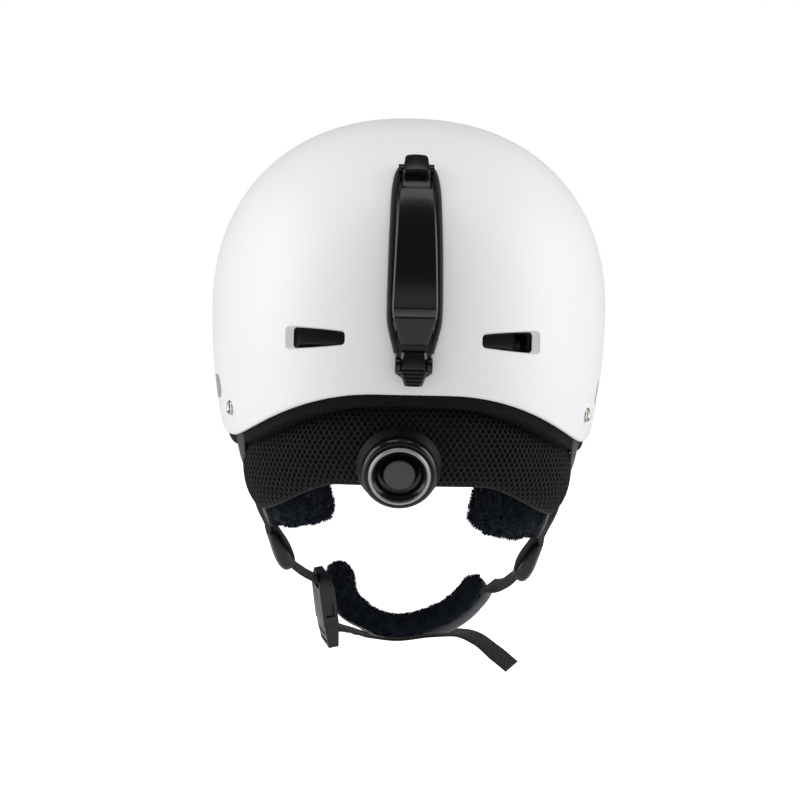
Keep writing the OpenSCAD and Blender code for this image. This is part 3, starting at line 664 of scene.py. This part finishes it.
def make_clip_arm():
    """Lever with its hinge block at the top, a flared skirt, a long face and a creased tip."""
    stations = [(124.6, 4.6, 6.6, 10.6), (124.2, 4.0, 9.0, 11.6), (123.0, 3.8, 10.0, 12.2),
                (115.4, 3.8, 10.6, 14.2), (114.8, 3.8, 10.0, 14.6), (114.2, 3.0, 5.4, 15.0),
                (107.4, 3.4, 6.0, 18.0), (106.8, 3.6, 8.6, 18.4), (106.2, 4.2, 10.2, 18.6)]
    for k in range(1, 21):
        u = k / 20
        face = mix(10.4, 8.6, u) + 1.4 * math.sin(math.pi * u)
        stations.append((mix(106, 48.2, u), 4.2, face, mix(18.8, 24.2, u ** 0.7)))
    stations += [(47.6, 4.2, 8.9, 24.0), (43.8, 4.2, 12.2, 23.4), (43.0, 4.2, 12.4, 22.8),
                 (38, 4.2, 11.0, 19.6), (33, 4.2, 9.4, 16.4), (29.8, 4.6, 8.2, 13.8),
                 (29.3, 5.2, 7.4, 13.2)]
    arm = clip_bar("goggle_clip_arm", stations, bevel=0.9)
    return dress(arm, "clip_black", "goggle_arm", ["clip_arm"])


def make_latch():
    """Thumb tab: a plain plate above, five grip ridges below and wide chamfered flanks."""
    stations = [(26.0, 5.4, 7.0, 12.6), (25.6, 4.8, 8.2, 13.2), (21.0, 4.2, 8.8, 15.0),
                (17.6, 4.0, 9.2, 15.6)]
    ridges = 4
    for k in range(ridges):
        z = 16.6 - 1.9 * k
        width = 15.4 - 1.5 * k
        stations += [(z, 4.0, 8.6, width), (z - 0.3, 4.0, 9.8, width - 0.2),
                     (z - 1.0, 4.0, 9.8, width - 0.5), (z - 1.3, 4.0, 8.6, width - 0.7)]
    stations += [(8.9, 4.2, 9.2, 9.9), (8.4, 4.8, 8.0, 9.3)]
    latch = clip_bar("goggle_clip_latch", stations, bevel=1.5, crown=0.2)
    return dress(latch, "clip_black", "goggle_latch", ["clip_latch"])


def make_clip_base():
    """Base plate of the clip; its upper ears are lower than the solid's, behind the hinge block."""
    base = copy_of("clip_base", "goggle_clip_base")
    for vertex in base.data.vertices:
        z = vertex.co.z / MM
        if z > 116:
            vertex.co.z = (116 + (z - 116) * 0.55) * MM
        if z < 14:
            vertex.co.z = (14 + (z - 14) * 0.4) * MM
            vertex.co.x *= mix(1, 0.62, (14 - z) / 9)
    modify(base, "BEVEL", width=0.35 * MM, segments=3, limit_method="ANGLE",
           angle_limit=math.radians(28))
    apply_modifiers(base)
    shade_by_angle(base, 40)
    return dress(base, "clip_black", nodes=["clip_base"])


def make_hinge_pin():
    """Short steel pin of the lever, hidden between the ears."""
    pin = copy_of("clip_arm_pin", "lever_hinge_pin")
    for vertex in pin.data.vertices:
        vertex.co.x *= 0.7
        vertex.co.z -= 3.2 * MM
    shade_by_angle(pin, 40)
    return dress(pin, "screw_steel", nodes=["clip_arm_pin"])


def make_elastic():
    """Elastic cords beside the clip, tucked in at both ends."""
    course = [(8.6, 121), (9.6, 119), (10.7, 115), (11.6, 108), (12.2, 95), (12.8, 75), (13.1, 52),
              (12.9, 42), (11.6, 35), (10.0, 29), (9.0, 25)]
    cords = []
    for side in (-1, 1):
        route = curve_through([(x, z, 0) for x, z in course], 90)
        centre = [rear_skin(side * p.x, p.y) + rear_normal(p.y) * 2.35 for p in route]
        cords.append(cord_mesh("clip_elastic_%d" % (1 if side > 0 else 0), centre, 1.7, 20))
    joined = join(cords, "clip_elastic")
    return dress(joined, "elastic", nodes=["clip_elastic_loop"])


def cord_mesh(name, centre, radius, sides):
    rings = []
    n = len(centre)
    for i, p in enumerate(centre):
        d = (centre[min(n - 1, i + 1)] - centre[max(0, i - 1)]).normalized()
        u = Vector((0, -1, 0))
        u = (u - d * u.dot(d)).normalized()
        v = d.cross(u)
        rings.append([p + radius * (u * math.cos(2 * math.pi * k / sides)
                                    + v * math.sin(2 * math.pi * k / sides)) for k in range(sides)])
    return loft(name, rings)


def join(objects, name):
    for obj in bpy.context.selected_objects:
        obj.select_set(False)
    for obj in objects:
        obj.select_set(True)
    bpy.context.view_layer.objects.active = objects[0]
    bpy.ops.object.join()
    objects[0].name = name
    return objects[0]


# ---- straps ----
WEB_W = 15
WEB_T = 1.6
REAR_LEG_LEFT = [(-92.9, -54, -2), (-92.2, -53, -20), (-90, -45, -36), (-85.5, -24, -50),
                 (-81.5, 8, -63), (-76, 29, -76), (-71, 36, -85)]
FRONT_LEG_LEFT = [(-98.6, 50.6, 20), (-98.4, 50.6, 4), (-97, 50, -14), (-92, 49, -38),
                  (-83, 45, -61), (-76, 41, -75), (-71, 37, -85)]
LOWER_LEFT = [(-67.5, 42, -92), (-61.5, 48, -98), (-55, 54, -102.5), (-48.5, 58.5, -106)]
REAR_LEG_RIGHT = [(92.9, -54, -2), (92.2, -53, -20), (90.5, -45, -36), (86.5, -24, -52),
                  (83, 8, -66), (78.5, 29, -80), (74, 36, -89)]
FRONT_LEG_RIGHT = [(98.6, 50.6, 20), (98.4, 50.6, 4), (97, 50, -14), (93, 49, -40),
                   (85, 45, -65), (79, 41, -79), (74, 37, -89)]
LOWER_RIGHT = [(70, 46, -96.5), (65, 57, -103), (59, 68, -107.5), (52.5, 78, -109)]
CHIN_WEB = [(-44.9, 70.1, -136.4), (-38.4, 71.6, -134.9), (-33.5, 77, -135.6), (-27.5, 86, -137.5),
            (-16, 95, -141), (0, 98, -142.8), (20, 96, -140), (36, 90, -138), (47, 84, -141),
            (58, 79, -149), (67.5, 76, -156.5)]
CHIN_WEB_ACROSS = [(-0.239, 0.937, 0.255)] * 2 + [(0, 1, 0.08)] * 5
CHIN_WEB_ACROSS += [(0, 1, 0.22), (0, 0.9, 0.45), (-0.05, 0.78, 0.62), (-0.1, 0.75, 0.66)]
PAD_ROUTE = [(-40, 84, -99), (-41, 90, -112), (-31, 97, -125), (0, 100, -131), (28, 97, -125),
             (42, 89, -113), (46, 84, -104)]


def web_mesh(name, route, directions, steps, width=WEB_W, thick=WEB_T):
    """Flat woven strap with rounded selvedges; its UV map runs along and across it."""
    line = curve_through(route, steps)
    across = curve_through(directions, steps)
    rings = []
    count = 14
    for i, p in enumerate(line):
        d = (line[min(steps, i + 1)] - line[max(0, i - 1)]).normalized()
        side = (across[i] - d * across[i].dot(d)).normalized()
        up = d.cross(side)
        ring = []
        for k in range(2 * count):
            a = math.pi * (k + 0.5) / count
            ring.append(p + side * (width / 2) * signed_power(math.cos(a), 0.45)
                        + up * (thick / 2) * signed_power(math.sin(a), 0.5))
        rings.append(ring)
    return loft(name, rings)


def shell_tangent(side, angle):
    """Direction along the shell's plan, forward, beside a rivet."""
    ahead, behind = (plan_point(side * (angle + turn), 0, 5) for turn in (-3, 3))
    return (ahead - behind).normalized()


def leg(name, node, route, side, angle):
    tangent = shell_tangent(side, angle)
    n = len(route)
    directions = [tangent, tangent, (tangent + Vector((0, 1, 0.2))).normalized()]
    directions += [Vector((0, 1, 0.25))] * (n - 3)
    obj = web_mesh(name, route, directions, 18 * n)
    return dress(obj, "webbing", nodes=[node])


# ---- soft goods ----
def grid_noise(p, size):
    return (math.sin(p[0] / size + 1.3) * math.sin(p[1] / size * 1.1 + 0.4)
            * math.sin(p[2] / size * 0.9 + 2.1))


def stuffed(obj, voxel=5.0, pressure=4.0, cap=5.0, steps=20):
    """Cloth blown up gently from inside, as stuffing does, and its result kept."""
    mesh_in = obj.data
    modify(obj, "REMESH", mode="VOXEL", voxel_size=voxel * MM)
    apply_modifiers(obj)
    start = [v.co.copy() for v in obj.data.vertices]
    cloth = obj.modifiers.new("cloth", "CLOTH")
    settings = cloth.settings
    settings.use_pressure = True
    settings.uniform_pressure_force = pressure
    settings.effector_weights.gravity = 0
    settings.quality = 4
    cloth.point_cache.frame_end = steps
    scene = bpy.context.scene
    for frame_number in range(1, steps + 1):
        scene.frame_set(frame_number)
    apply_modifiers(obj)
    for vertex, rest in zip(obj.data.vertices, start):
        move = vertex.co - rest
        if move.length > cap * MM:
            vertex.co = rest + move.normalized() * cap * MM
    scene.frame_set(1)
    modify(obj, "SMOOTH", factor=0.5, iterations=4)
    modify(obj, "SUBSURF", levels=1, render_levels=1)
    apply_modifiers(obj)
    obj.data.shade_smooth()
    bpy.data.meshes.remove(mesh_in)
    return obj


def shrink(obj, amount):
    """Moves every point inwards along its normal, to leave room for stuffing."""
    bm = bmesh.new()
    bm.from_mesh(obj.data)
    bm.normal_update()
    for vert in bm.verts:
        vert.co -= vert.normal * amount * MM
    bm.to_mesh(obj.data)
    bm.free()
    return obj


def add_pile(obj, blades, length, seed, covered, width=0.42):
    """Joins a pile of fine tapered fibres on to a fleece piece, in loose clumps.

    covered(root_mm, normal) is true where another piece lies on the fleece,
    which grows no fibres there.
    """
    rng = random.Random(seed)
    mesh = obj.data
    mesh.calc_loop_triangles()
    triangles = mesh.loop_triangles
    totals = []
    running = 0.0
    for triangle in triangles:
        running += triangle.area
        totals.append(running)
    points, faces = [], []
    for _ in range(blades):
        triangle = triangles[bisect.bisect(totals, rng.random() * running) % len(triangles)]
        a, b, c = (mesh.vertices[i].co for i in triangle.vertices)
        u, v = rng.random(), rng.random()
        if u + v > 1:
            u, v = 1 - u, 1 - v
        root = a + (b - a) * u + (c - a) * v
        normal = triangle.normal
        if covered(root / MM, normal):
            continue
        clump = Vector((grid_noise(root * 1000, 2.3),
                        grid_noise(root * 1000 + Vector((7, 3, 1)), 2.6),
                        grid_noise(root * 1000 + Vector((1, 9, 4)), 2.1)))
        lean = clump * 0.9 + Vector([rng.uniform(-0.55, 0.55) for _ in range(3)])
        tip = root + (normal + lean).normalized() * length * MM * rng.uniform(0.55, 1.1)
        side = normal.cross(lean + Vector((0.01, 0.02, 0.03))).normalized() * width * MM / 2
        base = len(points)
        middle = (root + tip) / 2 + normal * length * MM * 0.12
        points += [root - side, root + side, middle + side * 0.7, middle - side * 0.7, tip]
        faces += [(base, base + 1, base + 2, base + 3), (base + 3, base + 2, base + 4)]
    pile = bpy.data.meshes.new("pile")
    pile.from_pydata(points, [], faces)
    pile.shade_smooth()
    fibres = bpy.data.objects.new("pile", pile)
    bpy.context.collection.objects.link(fibres)
    return join([obj, fibres], obj.name)


def lump(obj, size, depth):
    """Gentle clumps in a fleece surface, in millimetres."""
    for vertex in obj.data.vertices:
        vertex.co += vertex.normal * depth * MM * grid_noise(vertex.co * 1000, size)
    return obj


def raise_left(co, side):
    """The left ear pad is drawn up 4 mm at its foot."""
    if side < 0:
        co.z += 4 * smoothstep((-50 - co.z / MM) / 25) * MM


def make_ear_pad(side):
    tag = "right" if side > 0 else "left"
    pad = copy_of("ear_pad_" + tag, "ear_pad_fleece_" + tag)
    fuller = 8.5 if side > 0 else 7.0
    for vertex in pad.data.vertices:
        inner = smoothstep(-vertex.normal.x * side * 1.2)
        vertex.co.x -= side * fuller * inner * MM
        raise_left(vertex.co, side)
    stuffed(pad, voxel=4.5, pressure=3.0, cap=6.0)
    lump(pad, 2.4, 1.0)
    pad = add_pile(pad, 17000, 2.0, 11 + side, lambda root, normal: normal.x * side > 0.35)
    dress(pad, "fleece", nodes=["ear_pad_" + tag])
    return pad


def make_ear_cover(side):
    tag = "right" if side > 0 else "left"
    cover = copy_of("ear_cover_" + tag, "ear_pad_shellcloth_" + tag)
    for vertex in cover.data.vertices:
        vertex.co.x -= 0.1 * side * MM
        raise_left(vertex.co, side)
    modify(cover, "SUBSURF", levels=1, render_levels=1)
    apply_modifiers(cover)
    cover.data.shade_smooth()
    return dress(cover, "ear_cloth", nodes=["ear_cover_" + tag])


def make_pad(node, name, cap=2.0):
    pad = copy_of(node, name)
    shrink(pad, 0.8)
    stuffed(pad, voxel=4.0, pressure=2.0, cap=cap)
    dress(pad, "liner_fabric", nodes=[node])
    return pad


# ---- neck roll ----
ROLL_START = 108
ROLL_T = 9
ROLL_INSET = 13
OUTER_ROWS = 150
INNER_ROWS = 24
CELL_W = 3.6
CELL_H = 5.2


def roll_point(angle, u, deep):
    side = smoothstep((140 - fold(angle)) / 28)
    top = rim_z(angle) - FOAM_SHOW + 1.2 + 5 * side
    p = plan_point(angle, 0, ROLL_INSET - 3.2 * side + deep)
    low = -46 - 16 * smoothstep((abs(p.x) - 40) / 50)
    draw = 1 - 0.045 * u * u * (1 + 0.6 * side * u * u)
    return Vector((p.x * draw, p.y * draw, mix(top, low, u)))


def cell_depth(along, down):
    """How deep the open cell of the mesh is at a place, 0 on the yarn and 1 in the hole."""
    row = round(down / (CELL_H / 2))
    shift = 0.5 if row % 2 else 0.0
    dx = (along / CELL_W + shift) % 1 - 0.5
    dz = (down - row * CELL_H / 2) / CELL_H
    d = abs(dx) / 0.36 + abs(dz) / 0.44
    return smoothstep((1.02 - d) / 0.45)


def make_neck_roll():
    columns = 640
    rings = []
    walked = 0.0
    last = None
    for i in range(columns + 1):
        angle = mix(ROLL_START, 360 - ROLL_START, i / columns)
        swell = min(1.0, 5 * math.sin(math.pi * i / columns) + 0.3)
        here = roll_point(angle, 0.5, 0)
        walked += (here - last).length if last else 0
        last = here
        inward = Vector((here.x, here.y, 0)).normalized()
        ring = []
        for k in range(OUTER_ROWS + INNER_ROWS):
            if k <= OUTER_ROWS:
                u = k / OUTER_ROWS
                face = -1
            else:
                u = 1 - (k - OUTER_ROWS) / INNER_ROWS
                face = 1
            bulge = (1 - abs(2 * u - 1) ** 3.6) ** 0.7
            deep = ROLL_T * (0.5 + 0.5 * face * bulge * swell)
            p = roll_point(angle, 0.5 + (u - 0.5) * mix(0.6, 1, swell), deep)
            outer = smoothstep((0.45 - deep / ROLL_T) / 0.25)
            hole = cell_depth(walked, p.z) * outer * min(1, swell * 1.2)
            puff = 1.6 * math.sin(math.pi * u) * outer
            ring.append(p - inward * (1.4 * hole) + inward * puff)
        rings.append(ring)
    roll = loft("neck_roll_mesh", rings)
    dress(roll, "air_mesh", nodes=["neck_roll"])
    return roll


# ---- fit dial ----
DIAL_TILT = math.radians(24)
DIAL_CENTRE = Vector((-6, -115.137, -36))
DIAL_AXIS = Vector((0, -math.cos(DIAL_TILT), -math.sin(DIAL_TILT)))
DIAL_UP = Vector((0, -math.sin(DIAL_TILT), math.cos(DIAL_TILT)))
BOSS_TOP = 3.2


def revolve_on_dial(name, profile, segments=128, build=loft):
    """Turned piece on the dial's axis."""
    rings = []
    for r, h in profile:
        ring = []
        for k in range(segments):
            a = 2 * math.pi * k / segments
            ring.append(DIAL_CENTRE + Vector((1, 0, 0)) * r * math.cos(a)
                        + DIAL_UP * r * math.sin(a) + DIAL_AXIS * h)
        rings.append(ring)
    return build(name, rings)


def make_dial():
    """Fit dial: dark rim with a groove, silver ring, deep glossy well and grey cap."""
    base = BOSS_TOP + SEAT
    knob = revolve_on_dial("dial_knob_rim", [
        (2.6, base), (18.2, base), (19.6, base + 0.3), (20.3, base + 1.2), (20.45, base + 2.6),
        (20.3, base + 4.4), (19.6, base + 5.9), (18.7, base + 6.7), (18.0, base + 6.9),
        (17.5, base + 6.5), (16.9, base + 6.5), (16.7, base + 7.4), (14.7, base + 7.6),
        (14.2, base + 7.2), (13.5, base + 6.4), (13.2, base + 6.6), (12.8, base + 6.2),
        (12.0, base + 4.2), (11.4, base + 3.5), (2.6, base + 3.4)])
    shade_by_angle(knob, 50)
    dress(knob, "dial_dark", "dial", ["dial_knob"])
    ring = revolve_on_dial("dial_silver_ring", [
        (14.8, base + 7.2), (14.8, base + 8.3), (15.0, base + 8.75), (15.5, base + 8.9),
        (16.0, base + 8.7), (16.5, base + 8.2), (16.6, base + 7.2)], build=ring_loft)
    shade_by_angle(ring, 50)
    dress(ring, "dial_silver", "dial", ["dial_ring"])
    cap = revolve_on_dial("dial_cap_disc", [
        (0.6, base + 4.6), (8.2, base + 4.6), (8.5, base + 5.0), (8.5, base + 6.0),
        (8.2, base + 6.4), (7.8, base + 6.5), (0.6, base + 6.5)], 96)
    shade_by_angle(cap, 45)
    dress(cap, "dial_cap_grey", "dial", ["dial_cap"])


# ---- chin ----
PAD_REACH = 7.2


def hang(p):
    """Where a point of the chin pad comes to lie: the middle sags, the left arm leans in."""
    sag = 4.5 * math.exp(-(p.x / 30) ** 2)
    lean = 5.5 * smoothstep((-12 - p.x) / 16)
    return Vector((p.x + lean, p.y, p.z - sag))


def pad_line():
    """Steps along the pad where it hangs: the place, the way out, the place before hanging."""
    line = curve_through(PAD_ROUTE, 96)
    steps = []
    for i, p in enumerate(line):
        d = (line[min(len(line) - 1, i + 1)] - line[max(0, i - 1)]).normalized()
        side = (Vector((0, 1, 0)) - d * d.y).normalized()
        steps.append((hang(p), -d.cross(side), p))
    return steps


def make_chin_pad():
    pad = copy_of("chin_pad", "chin_pad_fleece")
    for vertex in pad.data.vertices:
        place_mm = vertex.co / MM
        fuller = 2.6 * smoothstep((-14 - place_mm.x) / 14)
        vertex.co = (hang(place_mm) + vertex.normal * fuller) * MM
    stuffed(pad, voxel=4.0, pressure=3.0, cap=5.0)
    line = pad_line()
    for vertex in pad.data.vertices:
        centre, out, _ = min(line, key=lambda step: (step[0] - vertex.co / MM).length_squared)
        proud = (vertex.co / MM - centre).dot(out) - PAD_REACH
        if proud > 0:
            vertex.co -= out * proud * MM
    lump(pad, 2.2, 0.9)

    def behind_backing(root, normal):
        return normal.dot(Vector((root.x, 0, root.z + 92)).normalized()) > 0.6

    pad = add_pile(pad, 16000, 1.7, 31, behind_backing)
    dress(pad, "fleece", nodes=["chin_pad"])


def make_chin_backing():
    route, across = [], []
    for _, out, p in pad_line()[7:-7]:
        route.append(hang(p + out * (PAD_REACH + 0.5)))
        across.append(Vector((0, 1, 0)) - out * 0.42 * smoothstep((p.x - 8) / 18))
    backing = web_mesh("chin_pad_backing_strip", route, across, 120, width=17, thick=1.2)
    # Its grey finish holds painted light: the colour is raised above the cloth's own light grey to
    # look lit.
    dress(backing, "backing_grey", nodes=["chin_pad_backing"])


# ---- strap dividers ----
def make_divider(side):
    """Moulded slide that both webs run into: a rounded sleeve, thicker at its foot."""
    tag = "right" if side > 0 else "left"
    at = Vector((74, 36, -89)) if side > 0 else Vector((-71, 36, -85))
    along = Vector((-5 * side, 3, -10)).normalized()
    wide = (Vector((0, 1, 0)) - along * along.y).normalized()
    thick = along.cross(wide)
    sections = [(-12.2, 2.6, 12.6), (-11.6, 3.4, 13.8), (-9, 4.0, 14.8), (-4, 4.6, 15.8),
                (0, 5.2, 16.4), (4, 5.6, 16.4), (8, 5.4, 15.4), (11, 4.6, 13.6),
                (12.4, 3.6, 12.0), (12.9, 2.6, 10.8)]
    rings = []
    for t, half_thick, half_wide in sections:
        ring = []
        for k in range(48):
            a = 2 * math.pi * k / 48
            ring.append(at + along * t + wide * half_wide * signed_power(math.cos(a), 0.5)
                        + thick * half_thick * signed_power(math.sin(a), 0.6))
        rings.append(ring)
    obj = loft("strap_divider_" + tag, rings)
    shade_by_angle(obj, 40)
    return dress(obj, "buckle_black", "slider_" + tag, ["divider_" + tag])


# ---- build ----
make_shell()
for side in (-1, 1):
    make_vent_frame(side)
make_liner()
make_rivets()
make_clip_arm()
make_latch()
make_clip_base()
make_hinge_pin()
make_elastic()
leg("web_rear_l", "web_rear_left", REAR_LEG_LEFT, -1, 113.5)
leg("web_front_l", "web_front_left", FRONT_LEG_LEFT + LOWER_LEFT, -1, 70)
leg("web_rear_r", "web_rear_right", REAR_LEG_RIGHT, 1, 113.5)
leg("web_front_r", "web_front_right", FRONT_LEG_RIGHT + LOWER_RIGHT, 1, 70)
chin_web = web_mesh("chin_web_strap", CHIN_WEB, CHIN_WEB_ACROSS, 200)
dress(chin_web, "webbing", None, ["chin_web"])
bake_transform(chin_web)
make_neck_roll()
make_dial()
for side in (-1, 1):
    make_ear_pad(side)
    make_ear_cover(side)
make_pad("crown_pad", "crown_pads")
make_pad("brow_pad", "brow_pad_knit")
make_pad("side_pads", "side_pad_knit")
make_chin_pad()
make_chin_backing()
for side in (-1, 1):
    make_divider(side)
BUCKLE_LEAN = Vector((4, 0, 0)) * MM
for node, name, slot, body, radius in (
        ("buckle_socket", "buckle_socket_moulding", "buckle_black", "root", 1.2),
        ("buckle_plug", "buckle_plug_moulding", "buckle_black", "plug", 1.0),
        ("dial_housing", "dial_housing_moulding", "fit_black", "root", 0.5)):
    piece = rounded_copy(node, name, radius)
    if node.startswith("buckle"):
        piece.data.transform(Matrix.Translation(BUCKLE_LEAN))
    dress(piece, slot, body, [node])
for side, tag, rack_end in ((-1, "left", -0.045), (1, "right", 0.034)):
    node = "headband_" + tag
    band = dress(rounded_copy(node, node + "_strap", 0.3, 2), "fit_black", None, [node])
    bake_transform(band)
for entry in frame["record"]["subparts"]:
    carried = frame["nodes"][entry["node"]]
    carried.data.materials.clear()
    carried.data.materials.append(FINISH[entry["material_slot"]])


# ---- stage, light and camera ----
def make_stage():
    """Pale floor below the helmet that keeps its shadow and shows white to the camera."""
    bpy.ops.mesh.primitive_circle_add(vertices=96, radius=14, fill_type="NGON",
                                      location=(0, 0, -0.32))
    floor = bpy.context.object
    floor.name = "floor"
    material = bpy.data.materials.new("white_floor")
    material.use_nodes = True
    tree = material.node_tree
    tree.nodes.clear()
    matt = add(tree, "ShaderNodeBsdfDiffuse", None, Color=(0.8, 0.8, 0.8, 1))
    seen = add(tree, "ShaderNodeLightPath").outputs["Is Camera Ray"]
    glow = add(tree, "ShaderNodeEmission", None, Color=(1, 1, 1, 1), Strength=seen)
    both = add(tree, "ShaderNodeAddShader", None, i0=matt.outputs[0], i1=glow.outputs[0])
    add(tree, "ShaderNodeOutputMaterial", None, Surface=both.outputs[0])
    floor.data.materials.append(material)


AMBIENT = 0.56
GLOSSY_AMBIENT = 0.08


def make_world():
    world = bpy.data.worlds.new("studio")
    bpy.context.scene.world = world
    world.use_nodes = True
    tree = world.node_tree
    tree.nodes.clear()
    path = add(tree, "ShaderNodeLightPath")
    shown = add(tree, "ShaderNodeMath", {"operation": "MAXIMUM"}, i0=path.outputs["Is Camera Ray"],
                i1=path.outputs["Is Transmission Ray"])
    unlit = add(tree, "ShaderNodeMapRange", None, Value=path.outputs["Is Glossy Ray"],
                To_Min=AMBIENT, To_Max=GLOSSY_AMBIENT)
    level = add(tree, "ShaderNodeMapRange", None, Value=shown.outputs[0], To_Min=unlit.outputs[0],
                To_Max=1.0)
    light = add(tree, "ShaderNodeBackground", None, Color=(1, 1, 1, 1), Strength=level.outputs[0])
    add(tree, "ShaderNodeOutputWorld", None, Surface=light.outputs[0])


def area_light(name, place_m, target_m, width, height, watts):
    data = bpy.data.lights.new(name, "AREA")
    data.shape = "RECTANGLE"
    data.size = width
    data.size_y = height
    data.energy = watts
    lamp = bpy.data.objects.new(name, data)
    lamp.location = place_m
    aim = Vector(target_m) - Vector(place_m)
    lamp.rotation_euler = aim.to_track_quat("-Z", "Y").to_euler()
    bpy.context.collection.objects.link(lamp)


def make_camera():
    """Level camera 1.8 m behind the helmet, turned and rolled as the photograph's is."""
    distance, yaw, roll = 1.8, math.radians(1.4), math.radians(1.2)
    data = bpy.data.cameras.new("camera")
    data.lens = 142.6
    data.sensor_width = 36
    camera = bpy.data.objects.new("camera", data)
    camera.location = (-distance * math.sin(yaw), -distance * math.cos(yaw), 0)
    aim = Vector((-0.0037, 0, 0)) - camera.location
    turn = aim.to_track_quat("-Z", "Y").to_matrix() @ Matrix.Rotation(roll, 3, "Z")
    camera.rotation_euler = turn.to_euler()
    bpy.context.collection.objects.link(camera)
    bpy.context.scene.camera = camera


make_stage()
make_world()
area_light("left_softbox", (-1.6, -0.26, 0.3), (0, 0, 0.03), 1.2, 1.8, 16.4)
area_light("right_softbox", (1.6, -0.26, 0.3), (0, 0, 0.03), 1.2, 1.8, 16.4)
area_light("top_softbox", (0, -0.45, 1.65), (0, 0, 0), 1.6, 0.7, 5.6)
make_camera()
bpy.context.scene.view_settings.view_transform = "Standard"
